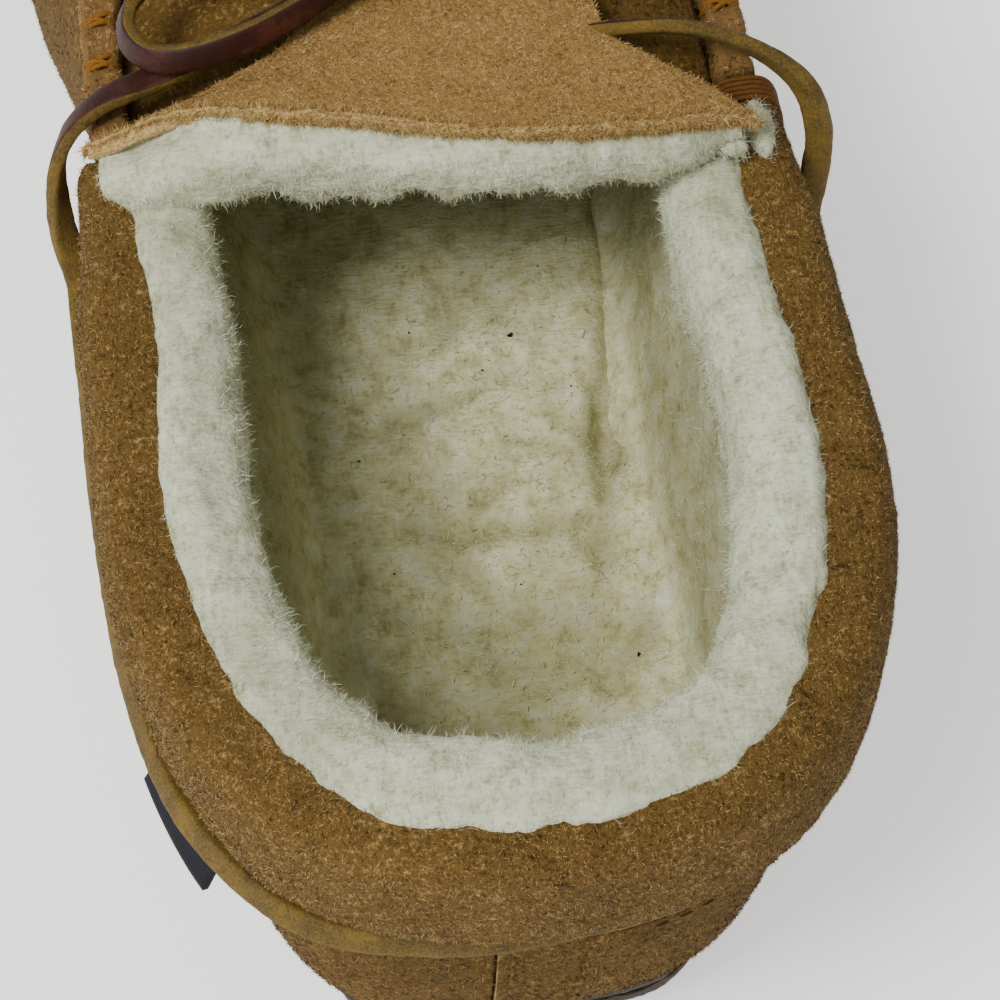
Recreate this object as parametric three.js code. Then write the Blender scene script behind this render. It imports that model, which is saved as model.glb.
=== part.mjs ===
// Moccasin slipper, left foot: a suede upper on a thin rubber sole, with a plug on top, a fan tongue,
// a folded collar cuff and a rawhide lace that runs round the collar and ties in a bow.
// Millimetres. +Y points to the toe, +X to the inner side of the foot, +Z up. The shoe stands on z = 0.
import * as THREE from 'three';
import { mergeVertices } from 'three/addons/utils/BufferGeometryUtils.js';

// Driving sizes
const LENGTH = 285;         // cuff at the heel to the tip of the toe
const BALL_WIDTH = 106;     // upper across the ball of the foot
const COLLAR_HEIGHT = 64.5; // floor to the top edge of the wall at the heel
const WALL = 2;             // suede of the upper
const GAP = 0.35;           // clearance between neighbouring pieces
const SOLE_HEEL = 7.8;      // rubber under the heel
const SOLE_FORE = 6.4;      // rubber under the ball
const TOE_SPRING = 9;       // lift of the sole at the toe tip
const ARCH_RISE = 2.6;      // lift of the sole under the arch
const HEEL_BEVEL = 0.8;     // lift of the sole at its rear edge
const SOLE_GROOVE = 0.9;    // depth of the groove round the side of the sole
const CUFF_OUT = 7.4;       // cuff outside the wall
const CUFF_IN = 0.6;        // cuff inside the wall
const CUFF_TAPER = 0.36;    // share of its thickness that the cuff loses towards its front ends
const HEEL_TAPER = 0.14;    // share of its thickness that the cuff loses at the middle of the heel
const CUFF_NARROW = 0.2;    // share of its drop that the cuff loses towards its front ends
const CUFF_RISE = 3.6;      // cuff above the wall
const CUFF_DROP = 18;       // cuff below the top edge of the wall
const SEAM_WIDTH = 5;       // raised seam round the plug
const SEAM_HEIGHT = 5;
const SEAM_PITCH = 7;       // one pucker of the raised seam
const PLUG_CROWN = 7;       // rise of the plug's middle above its edges
const PLUG_INSET = 0.65;    // edge of the plug inside the wall
const TONGUE_THICK = 2;
const TONGUE_RISE = 8;      // free edge of the tongue above its root
const TONGUE_FALL = 7.6;    // sides of the tongue below its middle
const TONGUE_HALF = 0.36;   // where they are that far below, as a share of the ball width
const TONGUE_CLEAR = 0.9;   // tongue above the plug's middle at the throat
const TONGUE_SLOPE = 0.9;   // share of the plug's slope that the tongue's root follows
const COUNTER_THICK = 1.5;  // heel patches outside the wall
const COUNTER_HEIGHT = 37;  // floor to the top of the heel patches
const BACKSTAY_WIDTH = 12;
const BACKSTAY_THICK = 1.9;
const LACE = 3;             // rawhide lace
const TAB_WIDTH = 12;       // plain side tab under the cuff
const TAB_HEIGHT = 13;
const TAB_THICK = 0.9;
const TAB_START = 0.088;    // outer rear corner, as a share of the way round from the heel
const COUNTER_FOOT = 2.2;   // heel patches start this far above the rubber
const COUNTER_END = 0.165;  // where they end, as a share of the way round

// Where the collar gives way to the raised seam, as a share of the length
const THROAT = 0.372;

// Stations round the shoe, from the middle of the heel along the outer side to the toe and back along the
// inner side. Places along are shares of the length, places across and handles are shares of the ball width,
// and rises are shares of the collar height.
// sole: edge of the rubber. foot: lower edge of the wall. rim: top edge of the wall.
// low: how far the wall sets out at its foot. high: how far outside its rim it comes in.
// drop: how far below the rim the wall starts to turn in.
const STATIONS = [
  { soleAlong: 0.033, soleAcross: -0.031, footAlong: 0.042, footAcross: -0.03,
    rimAlong: 0.023, rimAcross: 0, rise: 1.0, low: 0.08, high: 0, drop: 0.34 },
  { soleAlong: 0.046, soleAcross: -0.229, footAlong: 0.058, footAcross: -0.216,
    rimAlong: 0.054, rimAcross: -0.257, rise: 0.99, low: 0.09, high: 0, drop: 0.34 },
  { soleAlong: 0.134, soleAcross: -0.294, footAlong: 0.135, footAcross: -0.281,
    rimAlong: 0.151, rimAcross: -0.382, rise: 0.955, low: 0.098, high: -0.014, drop: 0.34 },
  { soleAlong: 0.274, soleAcross: -0.308, footAlong: 0.274, footAcross: -0.29,
    rimAlong: 0.295, rimAcross: -0.386, rise: 0.945, low: 0.085, high: 0.004, drop: 0.31 },
  { soleAlong: 0.43, soleAcross: -0.358, footAlong: 0.43, footAcross: -0.32,
    rimAlong: 0.43, rimAcross: -0.39, rise: 0.935, low: 0.085, high: 0.04, drop: 0.2 },
  { soleAlong: 0.614, soleAcross: -0.458, footAlong: 0.607, footAcross: -0.416,
    rimAlong: 0.589, rimAcross: -0.352, rise: 0.82, low: 0.115, high: 0.185, drop: 0.08 },
  { soleAlong: 0.765, soleAcross: -0.445, footAlong: 0.751, footAcross: -0.404,
    rimAlong: 0.723, rimAcross: -0.318, rise: 0.7, low: 0.12, high: 0.2, drop: 0.07 },
  { soleAlong: 0.897, soleAcross: -0.315, footAlong: 0.876, footAcross: -0.282,
    rimAlong: 0.846, rimAcross: -0.226, rise: 0.62, low: 0.14, high: 0.27, drop: 0.09 },
  { soleAlong: 0.971, soleAcross: 0.04, footAlong: 0.944, footAcross: 0.04,
    rimAlong: 0.902, rimAcross: 0.034, rise: 0.595, low: 0.18, high: 0.365, drop: 0.12 },
  { soleAlong: 0.903, soleAcross: 0.355, footAlong: 0.882, footAcross: 0.32,
    rimAlong: 0.852, rimAcross: 0.258, rise: 0.62, low: 0.14, high: 0.27, drop: 0.09 },
  { soleAlong: 0.779, soleAcross: 0.452, footAlong: 0.765, footAcross: 0.412,
    rimAlong: 0.733, rimAcross: 0.328, rise: 0.7, low: 0.12, high: 0.2, drop: 0.07 },
  { soleAlong: 0.653, soleAcross: 0.448, footAlong: 0.646, footAcross: 0.41,
    rimAlong: 0.606, rimAcross: 0.35, rise: 0.82, low: 0.115, high: 0.185, drop: 0.08 },
  { soleAlong: 0.463, soleAcross: 0.315, footAlong: 0.456, footAcross: 0.272,
    rimAlong: 0.435, rimAcross: 0.356, rise: 0.94, low: 0.09, high: 0.04, drop: 0.2 },
  { soleAlong: 0.295, soleAcross: 0.255, footAlong: 0.288, footAcross: 0.237,
    rimAlong: 0.295, rimAcross: 0.358, rise: 0.95, low: 0.075, high: 0.004, drop: 0.31 },
  { soleAlong: 0.134, soleAcross: 0.237, footAlong: 0.135, footAcross: 0.224,
    rimAlong: 0.151, rimAcross: 0.37, rise: 0.955, low: 0.092, high: -0.014, drop: 0.34 },
  { soleAlong: 0.046, soleAcross: 0.168, footAlong: 0.058, footAcross: 0.158,
    rimAlong: 0.054, rimAcross: 0.25, rise: 0.99, low: 0.084, high: 0, drop: 0.34 },
];
const TOE = 0.5; // the toe tip, halfway round

// Rounded top of the cuff from inside out: out as a share of its thickness, up as a share of CUFF_RISE.
const CUFF_TOP = [
  { out: -0.1, up: 1 },
  { out: 0.45, up: 1 },
  { out: 0.85, up: 0.62 },
];

// Side of the rubber from the floor up: out from its edge as a share of SOLE_HEEL, in as a share of
// SOLE_GROOVE, up as a share of its thickness.
const SOLE_SIDE = [
  { out: -0.18, in: 0, up: 0 },
  { out: -0.026, in: 0, up: 0.14 },
  { out: 0, in: 0, up: 0.46 },
  { out: 0, in: 1, up: 0.52 },
  { out: 0, in: 1, up: 0.62 },
  { out: 0.05, in: 0, up: 0.69 },
  { out: 0.05, in: 0, up: 0.93 },
  { out: -0.05, in: 0, up: 1 },
];

// Fan tongue from its root, under the bow, to its free edge: along as shares of the length and across as
// shares of the ball width, for its outer and inner side. lift is a share of TONGUE_RISE.
const TONGUE_ROWS = [
  { outerAlong: 0.474, outerAcross: -0.1, innerAlong: 0.474, innerAcross: 0.185, lift: 0 },
  { outerAlong: 0.428, outerAcross: -0.106, innerAlong: 0.421, innerAcross: 0.2, lift: 0.06 },
  { outerAlong: 0.402, outerAcross: -0.19, innerAlong: 0.392, innerAcross: 0.208, lift: 0.25 },
  { outerAlong: 0.386, outerAcross: -0.285, innerAlong: 0.373, innerAcross: 0.26, lift: 0.5 },
  { outerAlong: 0.377, outerAcross: -0.36, innerAlong: 0.354, innerAcross: 0.318, lift: 0.78 },
  { outerAlong: 0.37, outerAcross: -0.42, innerAlong: 0.337, innerAcross: 0.36, lift: 1 },
];
// Free edge of the tongue, from its outer to its inner corner: how far it lies behind a straight line and
// sags below an even one, as shares of TONGUE_RISE.
const TONGUE_EDGE = [
  { back: 0, sag: 0 },
  { back: -0.2, sag: 0 },
  { back: 0.075, sag: 0.025 },
  { back: 0.35, sag: 0.125 },
  { back: 0.55, sag: 0.225 },
  { back: 0.525, sag: 0.225 },
  { back: 0.3, sag: 0.11 },
  { back: 0, sag: 0 },
];

// Lace under the cuff, from the outer front end round the heel to the inner front end. round is a share of
// the way round the shoe, and out is the distance from the wall as a share of CUFF_OUT.
const LACE_RUN = [
  { round: 0.195, out: 1.06 },
  { round: 0.165, out: 1.1 },
  { round: 0.13, out: 1.02 },
  { round: 0.095, out: 1.04 },
  { round: 0.06, out: 0.98 },
  { round: 0.03, out: 0.72 },
  { round: 0, out: 0.5 },
  { round: -0.04, out: 0.45 },
  { round: -0.08, out: 0.5 },
  { round: -0.12, out: 0.6 },
  { round: -0.16, out: 0.7 },
  { round: -0.19, out: 0.8 },
];

// Plain tab from its top edge, under the cuff, to its free edge: out as a share of CUFF_OUT, down as a share
// of TAB_HEIGHT.
const TAB_ROWS = [
  { out: 0.26, down: 0 },
  { out: 0.3, down: 0.3 },
  { out: 0.75, down: 0.6 },
  { out: 1.1, down: 1 },
];

// Routes of the lace's free parts, chosen by hand: across from the last's axis, along from the heel, up. They
// are drawn for these sizes, and follow the shoe when it changes.
const DRAWN = new THREE.Vector3(106, 285, 64.5);
const LACE_LEFT = [
  [-14.5, 121, 71.8], [-21.5, 118.6, 70.6], [-28.5, 116, 69.8], [-35.5, 113.8, 69.3], [-41.5, 112, 68.9],
  [-46, 110, 66.6], [-48.6, 107.6, 62], [-49.2, 105.4, 56], [-48.8, 103, 50], [-47.8, 99, 44.6],
];
const LACE_RIGHT = [
  [44.9, 92.5, 44.6], [46, 95.5, 50], [46.9, 97, 56], [47.3, 98.8, 62], [45.9, 102, 67], [42, 105.4, 69.8],
  [36.6, 108.4, 71.1], [31, 110.8, 71.4], [24.5, 112.6, 71.2],
];
const KNOT_AT = [-4, 124, 74.1];
const KNOT_SIZE = [5.6, 4.6, 4]; // half its length, breadth and height
const LOOP_LEFT = [
  [-10.8, 120.8, 75.4], [-16, 117.6, 75.2], [-23, 114.6, 74.8], [-30, 113.4, 74], [-35.4, 114.6, 73.2],
  [-37.8, 118.4, 72.8], [-37, 122.8, 72.8], [-33.4, 126, 73], [-27.5, 127.8, 73.8], [-20.5, 128.2, 74.6],
  [-11.6, 127, 75.4],
];
const LOOP_RIGHT = [
  [2.1, 125, 75.1], [9.5, 127, 75.2], [17.5, 128.2, 74.6], [25.5, 130.2, 73.6], [31, 133.8, 72.6],
  [32.2, 138.4, 72], [29, 142, 71.6], [22.6, 142, 71.8], [14.6, 138.2, 72.8], [8, 133.8, 73.8],
  [2.4, 129.6, 74.8],
];
const END_LEFT = [
  [-7.2, 129.8, 72.2], [-10, 135.4, 70], [-13, 143, 68.2], [-14.4, 150.5, 66.4], [-13.8, 158.5, 64.4],
  [-11.6, 166.4, 62.2], [-9.6, 174, 60],
];
const END_RIGHT = [
  [-2.4, 130.2, 72.2], [-0.4, 136, 70.2], [1.6, 144.5, 68.6], [4.6, 152.4, 66.6], [9, 160, 64.4],
  [12.8, 167.4, 62.2], [14.8, 175.4, 59.8],
];

// Fineness
const ROUND = 72;      // sections round the shoe
const UP = 9;          // sections up the wall
const LACE_SIDES = 8;

const COLOURS = {
  suede: 0xa67c4e,
  cuff: 0x8a6338,
  tongue: 0xb88a58,
  rubber: 0x3b3123,
  fleece: 0xcdd2c0,
  rawhide: 0x5a3c2a,
  thread: 0xb9853e,
  navy: 0x1a2140,
};

const up = new THREE.Vector3(0, 0, 1);

function material(colour, roughness) {
  return new THREE.MeshStandardMaterial({ color: colour, roughness, metalness: 0 });
}

// Smooth value of a column, all the way round the stations.
function stationValue(key, round) {
  const n = STATIONS.length;
  const place = (((round % 1) + 1) % 1) * n;
  const i = Math.floor(place);
  const t = place - i;
  const [a, b, c, d] = [i - 1, i, i + 1, i + 2].map((k) => STATIONS[(k + n) % n][key]);
  return 0.5 * (2 * b + (c - a) * t + (2 * a - 5 * b + 4 * c - d) * t * t + (3 * b - a - 3 * c + d) * t ** 3);
}

function outline(part, round) {
  const x = stationValue(part + 'Across', round) * BALL_WIDTH;
  const y = stationValue(part + 'Along', round) * LENGTH;
  return new THREE.Vector3(x, y, 0);
}

// Level direction that points out of an outline.
function outward(part, round) {
  const step = 0.002;
  const run = outline(part, round + step).sub(outline(part, round - step));
  return new THREE.Vector3(-run.y, run.x, 0).normalize();
}

// Underside of the sole above the floor, at a share of the length.
function soleLift(share) {
  const [heel, archStart, archEnd, toe] = [0.07, 0.3, 0.56, 0.74];
  if (share < heel) return HEEL_BEVEL * ((heel - share) / heel) ** 2;
  if (share > toe) return TOE_SPRING * ((share - toe) / (1 - toe)) ** 2;
  if (share > archStart && share < archEnd) {
    return ARCH_RISE * Math.sin((Math.PI * (share - archStart)) / (archEnd - archStart)) ** 2;
  }
  return 0;
}

function soleThickness(share) {
  const [start, end] = [0.3, 0.56];
  return SOLE_HEEL + (SOLE_FORE - SOLE_HEEL) * THREE.MathUtils.smoothstep(share, start, end);
}

function soleTop(share) {
  return soleLift(share) + soleThickness(share);
}

// Outer face of the upper: round the shoe, up the wall from 0 at its foot to 1 at its rim.
function wallFace(round, level) {
  const foot = outline('foot', round);
  foot.z = soleTop(foot.y / LENGTH) + GAP;
  const rim = outline('rim', round);
  rim.z = stationValue('rise', round) * COLLAR_HEIGHT;
  const out = outward('foot', round);
  const low = foot.clone().addScaledVector(out, stationValue('low', round) * BALL_WIDTH);
  low.z += WALL;
  const rimOut = outward('rim', round);
  const high = rim.clone().addScaledVector(rimOut, stationValue('high', round) * BALL_WIDTH);
  high.z -= stationValue('drop', round) * COLLAR_HEIGHT;
  return new THREE.CubicBezierCurve3(foot, low, high, rim).getPoint(level);
}

// The same face moved out along its own normal.
function wall(round, level, out) {
  const point = wallFace(round, level);
  if (out === 0) return point;
  const [du, dv] = [0.003, 0.01];
  const across = wallFace(round + du, level).sub(wallFace(round - du, level));
  const rise = wallFace(round, Math.min(1, level + dv)).sub(wallFace(round, Math.max(0, level - dv)));
  const normal = rise.cross(across).normalize();
  return point.addScaledVector(normal, out);
}

// Level at which the wall reaches a height.
function levelAt(round, height) {
  let [low, high] = [0, 1];
  for (let i = 0; i < 24; i += 1) {
    const middle = (low + high) / 2;
    if (wallFace(round, middle).z < height) low = middle;
    else high = middle;
  }
  return (low + high) / 2;
}

// Place round the shoe where the rim reaches a share of the length, on the side given by two bounds.
function roundAt(share, from, to) {
  let [a, b] = [from, to];
  for (let i = 0; i < 30; i += 1) {
    const middle = (a + b) / 2;
    if (stationValue('rimAlong', middle) < share) a = middle;
    else b = middle;
  }
  return (a + b) / 2;
}

const OUTER_THROAT = roundAt(THROAT, 0, TOE);
const INNER_THROAT = roundAt(THROAT, 1, TOE);
const THROAT_STEP = 0.003; // from the cuff's ends to the plug and its seam, as a share of the way round

function numbers(count) {
  return Array.from({ length: count }, (unused, i) => i);
}

function share(i, count) {
  return i / (count - 1);
}

// Places round the shoe between two ends, in step with the sections of the wall.
function roundsBetween(from, to) {
  const inside = numbers(2 * ROUND + 1)
    .map((i) => i / ROUND - 1)
    .filter((round) => round > from + 0.3 / ROUND && round < to - 0.3 / ROUND);
  return [from, ...inside, to];
}

// Closed geometry from a list of vertices and triangles, faces outwards.
function solid(points, faces) {
  let volume = 0;
  for (const [a, b, c] of faces) volume += points[a].dot(points[b].clone().cross(points[c]));
  const index = faces.flatMap(([a, b, c]) => (volume < 0 ? [a, c, b] : [a, b, c]));
  const geometry = new THREE.BufferGeometry();
  geometry.setAttribute('position', new THREE.Float32BufferAttribute(points.flatMap((p) => p.toArray()), 3));
  geometry.setIndex(index);
  return geometry;
}

// Triangles that close a ring which may bend back on itself.
function capFaces(ring) {
  const normal = new THREE.Vector3();
  ring.forEach((p, i) => normal.add(p.clone().cross(ring[(i + 1) % ring.length])));
  normal.normalize();
  const side = Math.abs(normal.z) < 0.9 ? up.clone().cross(normal).normalize() : new THREE.Vector3(1, 0, 0);
  const top = normal.clone().cross(side);
  const flat = ring.map((p) => new THREE.Vector2(p.dot(side), p.dot(top)));
  return THREE.ShapeUtils.triangulateShape(flat, []);
}

// Solid through a row of rings that have the same number of points. A loop joins its last ring to its first.
function sweep(rings, loop = false) {
  const size = rings[0].length;
  const faces = [];
  const spans = loop ? rings.length : rings.length - 1;
  for (let i = 0; i < spans; i += 1) {
    const a = i * size;
    const b = ((i + 1) % rings.length) * size;
    for (let j = 0; j < size; j += 1) {
      const k = (j + 1) % size;
      faces.push([a + j, b + j, b + k], [a + j, b + k, a + k]);
    }
  }
  if (!loop) {
    const last = (rings.length - 1) * size;
    for (const [a, b, c] of capFaces(rings[0])) faces.push([a, b, c]);
    for (const [a, b, c] of capFaces(rings.at(-1))) faces.push([last + a, last + c, last + b]);
  }
  return solid(rings.flat(), faces);
}

// Solid through level rings, one above the other, closed below and above by strips across the shoe.
function stack(rings) {
  const size = rings[0].length;
  const faces = [];
  for (let i = 0; i < rings.length - 1; i += 1) {
    for (let j = 0; j < size; j += 1) {
      const k = (j + 1) % size;
      const [a, b] = [i * size, (i + 1) * size];
      faces.push([a + j, b + k, b + j], [a + j, a + k, b + k]);
    }
  }
  const last = (rings.length - 1) * size;
  for (let j = 0; j < size / 2; j += 1) {
    const [p, q, r, s] = [j, j + 1, size - j - 1, (size - j) % size];
    if (p !== s) faces.push([p, s, r], [last + p, last + r, last + s]);
    if (q !== r) faces.push([p, r, q], [last + p, last + q, last + r]);
  }
  return solid(rings.flat(), faces);
}

// Rings of a sheet: each row of its top face, then the row below it turned round.
function sheet(topRows, bottomRows) {
  return sweep(topRows.map((row, i) => [...row, ...bottomRows[i].slice().reverse()]));
}

// Round lace along a route.
function lace(points, diameter = LACE) {
  const path = new THREE.CatmullRomCurve3(points, false, 'centripetal');
  const section = new THREE.Shape(
    numbers(LACE_SIDES).map((i) => {
      const turn = (2 * Math.PI * i) / LACE_SIDES;
      return new THREE.Vector2(Math.cos(turn), Math.sin(turn)).multiplyScalar(diameter / 2);
    }),
  );
  const steps = Math.max(6, Math.round(path.getLength() / (2 * diameter)));
  const geometry = new THREE.ExtrudeGeometry(section, { extrudePath: path, steps, bevelEnabled: false });
  geometry.deleteAttribute('normal');
  geometry.deleteAttribute('uv');
  return mergeVertices(geometry, 1e-4);
}

function route(list) {
  const now = new THREE.Vector3(BALL_WIDTH, LENGTH, COLLAR_HEIGHT).divide(DRAWN);
  return list.map((point) => new THREE.Vector3(...point).multiply(now));
}

function outsole() {
  const rings = SOLE_SIDE.map((row) =>
    numbers(ROUND).map((i) => {
      const round = i / ROUND;
      const out = row.out * SOLE_HEEL - row.in * SOLE_GROOVE;
      const point = outline('sole', round).addScaledVector(outward('sole', round), out);
      const along = point.y / LENGTH;
      point.z = soleLift(along) + row.up * soleThickness(along);
      return point;
    }),
  );
  return stack(rings);
}

function insole() {
  const levels = [0.05, 0.15, 0.25];
  return stack(levels.map((level) => numbers(ROUND).map((i) => wall(i / ROUND, level, -WALL - 2 * GAP))));
}

function upper() {
  const rings = numbers(ROUND).map((i) => {
    const outer = numbers(UP).map((k) => wall(i / ROUND, share(k, UP), 0));
    const inner = numbers(UP).map((k) => wall(i / ROUND, share(k, UP), -WALL));
    return [...outer, ...inner.reverse()];
  });
  return sweep(rings, true);
}

// Top of the plug: down the shoe from the throat to the toe, across from the outer to the inner side.
function plugTop(down, across) {
  const [outer, inner] = [OUTER_THROAT + THROAT_STEP, INNER_THROAT - THROAT_STEP].map((start) => {
    const round = THREE.MathUtils.lerp(start, TOE, down);
    const edge = wall(round, 1, -WALL).addScaledVector(outward('rim', round), -PLUG_INSET);
    edge.z = wallFace(round, 1).z;
    return edge;
  });
  const point = outer.lerp(inner, across);
  point.z += PLUG_CROWN * (1 - (2 * across - 1) ** 2) * (1 - down ** 3);
  return point;
}

function plug() {
  const [rows, columns, tip] = [22, 11, 0.93];
  const grid = (drop) =>
    numbers(rows).map((i) =>
      numbers(columns).map((k) => {
        const point = plugTop(share(i, rows) * tip, share(k, columns));
        point.z -= drop;
        return point;
      }),
    );
  return sheet(grid(0), grid(WALL));
}

// Raised seam round the plug, with a pucker for each stitch.
function plugSeam() {
  const [from, to, sections, sides] = [OUTER_THROAT + THROAT_STEP, INNER_THROAT - THROAT_STEP, 104, 8];
  let walked = 0;
  let last = null;
  const rings = numbers(sections).map((i) => {
    const round = THREE.MathUtils.lerp(from, to, share(i, sections));
    const centre = wallFace(round, 1);
    walked += last ? centre.distanceTo(last) : 0;
    last = centre.clone();
    const swell = 0.86 + 0.14 * Math.abs(Math.sin((Math.PI * walked) / SEAM_PITCH));
    const out = outward('rim', round);
    centre.z += GAP + SEAM_HEIGHT / 2;
    return numbers(sides).map((k) => {
      const turn = (2 * Math.PI * k) / sides;
      const point = centre.clone().addScaledVector(out, (Math.cos(turn) * SEAM_WIDTH * swell) / 2);
      point.z += (Math.sin(turn) * SEAM_HEIGHT * (Math.sin(turn) > 0 ? swell : 1)) / 2;
      return point;
    });
  });
  return sweep(rings);
}

// Value of a column at a place, in rows, down a table.
function tableValue(table, key, place) {
  const i = Math.min(Math.floor(place), table.length - 2);
  return THREE.MathUtils.lerp(table[i][key], table[i + 1][key], place - i);
}

// Fan tongue: it follows the plug ahead of the throat, then rises to its free edge and falls to its sides.
function tongue() {
  const columns = 15;
  const rows = 2 * TONGUE_ROWS.length - 1;
  const corner = (side, place) => {
    const x = tableValue(TONGUE_ROWS, side + 'Across', place) * BALL_WIDTH;
    return new THREE.Vector2(x, tableValue(TONGUE_ROWS, side + 'Along', place) * LENGTH);
  };
  const throat = plugTop(0, 0.5);
  const further = plugTop(0.2, 0.5);
  const slope = (TONGUE_SLOPE * (throat.z - further.z)) / (further.y - throat.y);
  const grid = (rise) =>
    numbers(rows).map((i) => {
      const place = i / 2;
      const lift = tableValue(TONGUE_ROWS, 'lift', place);
      return numbers(columns).map((k) => {
        const across = share(k, columns);
        const edge = across * (TONGUE_EDGE.length - 1);
        const plan = corner('outer', place).lerp(corner('inner', place), across);
        plan.y -= tableValue(TONGUE_EDGE, 'back', edge) * TONGUE_RISE * lift;
        const side = THREE.MathUtils.clamp(plan.x / (TONGUE_HALF * BALL_WIDTH), -1.15, 1.15);
        const fall = TONGUE_FALL * side ** 2;
        const ahead = Math.max(0, plan.y - throat.y);
        const base = throat.z + TONGUE_CLEAR - fall - slope * ahead;
        const raised = (1 - tableValue(TONGUE_EDGE, 'sag', edge)) * TONGUE_RISE * lift;
        return new THREE.Vector3(plan.x, plan.y, base + raised + rise);
      });
    });
  return sheet(grid(TONGUE_THICK), grid(0));
}

function cuffThickness(round) {
  const along = stationValue('rimAlong', round);
  const taper = THREE.MathUtils.smoothstep(along, 0.78 * THROAT, THROAT);
  const heel = 1 - THREE.MathUtils.smoothstep(along, 0, 0.25 * THROAT);
  return CUFF_OUT * (1 - CUFF_TAPER * taper - HEEL_TAPER * heel);
}

// Drop of the cuff's lower edge below the rim: the cuff narrows towards its front ends.
function cuffDrop(round) {
  const narrow = THREE.MathUtils.smoothstep(stationValue('rimAlong', round), 0.6 * THROAT, THROAT);
  return CUFF_DROP * (1 - CUFF_NARROW * narrow);
}

// Folded cuff over the top edge of the wall.
function cuff() {
  const faceRows = 4;
  const hem = 0.88; // thickness left at the lower edge
  const rings = roundsBetween(INNER_THROAT - 1, OUTER_THROAT).map((round) => {
    const rim = wallFace(round, 1);
    const lowest = levelAt(round, rim.z - cuffDrop(round));
    const out = outward('rim', round);
    const levels = numbers(faceRows).map((k) => THREE.MathUtils.lerp(1, lowest, share(k, faceRows)));
    const thick = cuffThickness(round);
    const over = (side, rise) => rim.clone().addScaledVector(out, side).addScaledVector(up, rise);
    const inside = levels.slice().reverse().map((level) => wall(round, level, 2 * GAP));
    const outside = levels.map((level, k) => wall(round, level, thick * (k === faceRows - 1 ? hem : 1)));
    const top = CUFF_TOP.map((row) => over(row.out * thick, row.up * CUFF_RISE));
    return [
      ...inside,
      over(2 * GAP, GAP),
      over(-WALL - CUFF_IN, GAP),
      over(-WALL - CUFF_IN, 0.6 * CUFF_RISE),
      ...top,
      ...outside,
    ];
  });
  return sweep(rings);
}

// Point on the underside of the cuff, out from the wall by a share of the cuff's thickness.
function underCuff(round, out) {
  const lowest = levelAt(round, wallFace(round, 1).z - cuffDrop(round));
  return wall(round, lowest, out * cuffThickness(round));
}

// Patch on the outside of the wall between two places round the shoe.
function patch(from, to, topHeight, thickness) {
  const rows = 5;
  const grid = (out) =>
    roundsBetween(from, to).map((round) => {
      const low = levelAt(round, SOLE_HEEL + COUNTER_FOOT);
      const high = levelAt(round, topHeight);
      return numbers(rows).map((k) => wall(round, THREE.MathUtils.lerp(low, high, share(k, rows)), out));
    });
  return sheet(grid(GAP + thickness), grid(GAP));
}

// Way round the shoe at the pace of the heel
const ROUND_LENGTH = wallFace(0, 0.5).distanceTo(wallFace(0.01, 0.5)) / 0.01;
const STAY_HALF = BACKSTAY_WIDTH / 2 / ROUND_LENGTH;
const STAY_STEP = (1.2 * GAP) / ROUND_LENGTH; // between the stay and the patches beside it

function counter(side) {
  const ends = [side * (STAY_HALF + STAY_STEP), side * COUNTER_END].sort((a, b) => a - b);
  return patch(...ends, COUNTER_HEIGHT, COUNTER_THICK);
}

function backstay() {
  const top = COLLAR_HEIGHT - CUFF_DROP - LACE - 2 * GAP;
  return patch(-STAY_HALF, STAY_HALF, top, BACKSTAY_THICK);
}

// Plain tab that hangs from the underside of the cuff at the outer rear corner.
function sideTab() {
  const columns = 5;
  const [from, to] = [TAB_START, TAB_START + TAB_WIDTH / ROUND_LENGTH];
  const grid = (extra) =>
    numbers(columns).map((i) => {
      const round = THREE.MathUtils.lerp(from, to, share(i, columns));
      const out = outward('rim', round);
      const top = underCuff(round, 0);
      return TAB_ROWS.map((row) => {
        const point = top.clone().addScaledVector(out, row.out * CUFF_OUT + extra);
        point.z -= 2 * GAP + row.down * TAB_HEIGHT;
        return point;
      });
    });
  return sheet(grid(TAB_THICK), grid(0));
}

// The lace from the bow down the outer side, under the cuff round the heel and up to the bow again.
function collarLace() {
  const run = LACE_RUN.map((row) => {
    const point = underCuff(row.round, row.out);
    point.z -= LACE / 2 + 1.5 * GAP;
    return point;
  });
  return lace([...route(LACE_LEFT), ...run, ...route(LACE_RIGHT)]);
}

function knot() {
  const geometry = new THREE.SphereGeometry(1, 12, 8);
  geometry.scale(...KNOT_SIZE);
  geometry.translate(...route([KNOT_AT])[0].toArray());
  geometry.deleteAttribute('normal');
  geometry.deleteAttribute('uv');
  return mergeVertices(geometry, 1e-4);
}

const PIECES = {
  outsole: [outsole(), COLOURS.rubber, 0.75],
  insole: [insole(), COLOURS.fleece, 1],
  upper: [upper(), COLOURS.suede, 0.95],
  plug: [plug(), COLOURS.suede, 0.95],
  plug_seam: [plugSeam(), COLOURS.suede, 0.9],
  tongue: [tongue(), COLOURS.tongue, 0.95],
  collar_cuff: [cuff(), COLOURS.cuff, 0.95],
  counter_outer: [counter(1), COLOURS.suede, 0.95],
  counter_inner: [counter(-1), COLOURS.suede, 0.95],
  backstay: [backstay(), COLOURS.suede, 0.95],
  side_tab: [sideTab(), COLOURS.navy, 0.8],
  lace: [collarLace(), COLOURS.rawhide, 0.6],
  lace_knot: [knot(), COLOURS.rawhide, 0.6],
  lace_loop_left: [lace(route(LOOP_LEFT)), COLOURS.rawhide, 0.6],
  lace_loop_right: [lace(route(LOOP_RIGHT)), COLOURS.rawhide, 0.6],
  lace_end_left: [lace(route(END_LEFT)), COLOURS.rawhide, 0.6],
  lace_end_right: [lace(route(END_RIGHT)), COLOURS.rawhide, 0.6],
};

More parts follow.
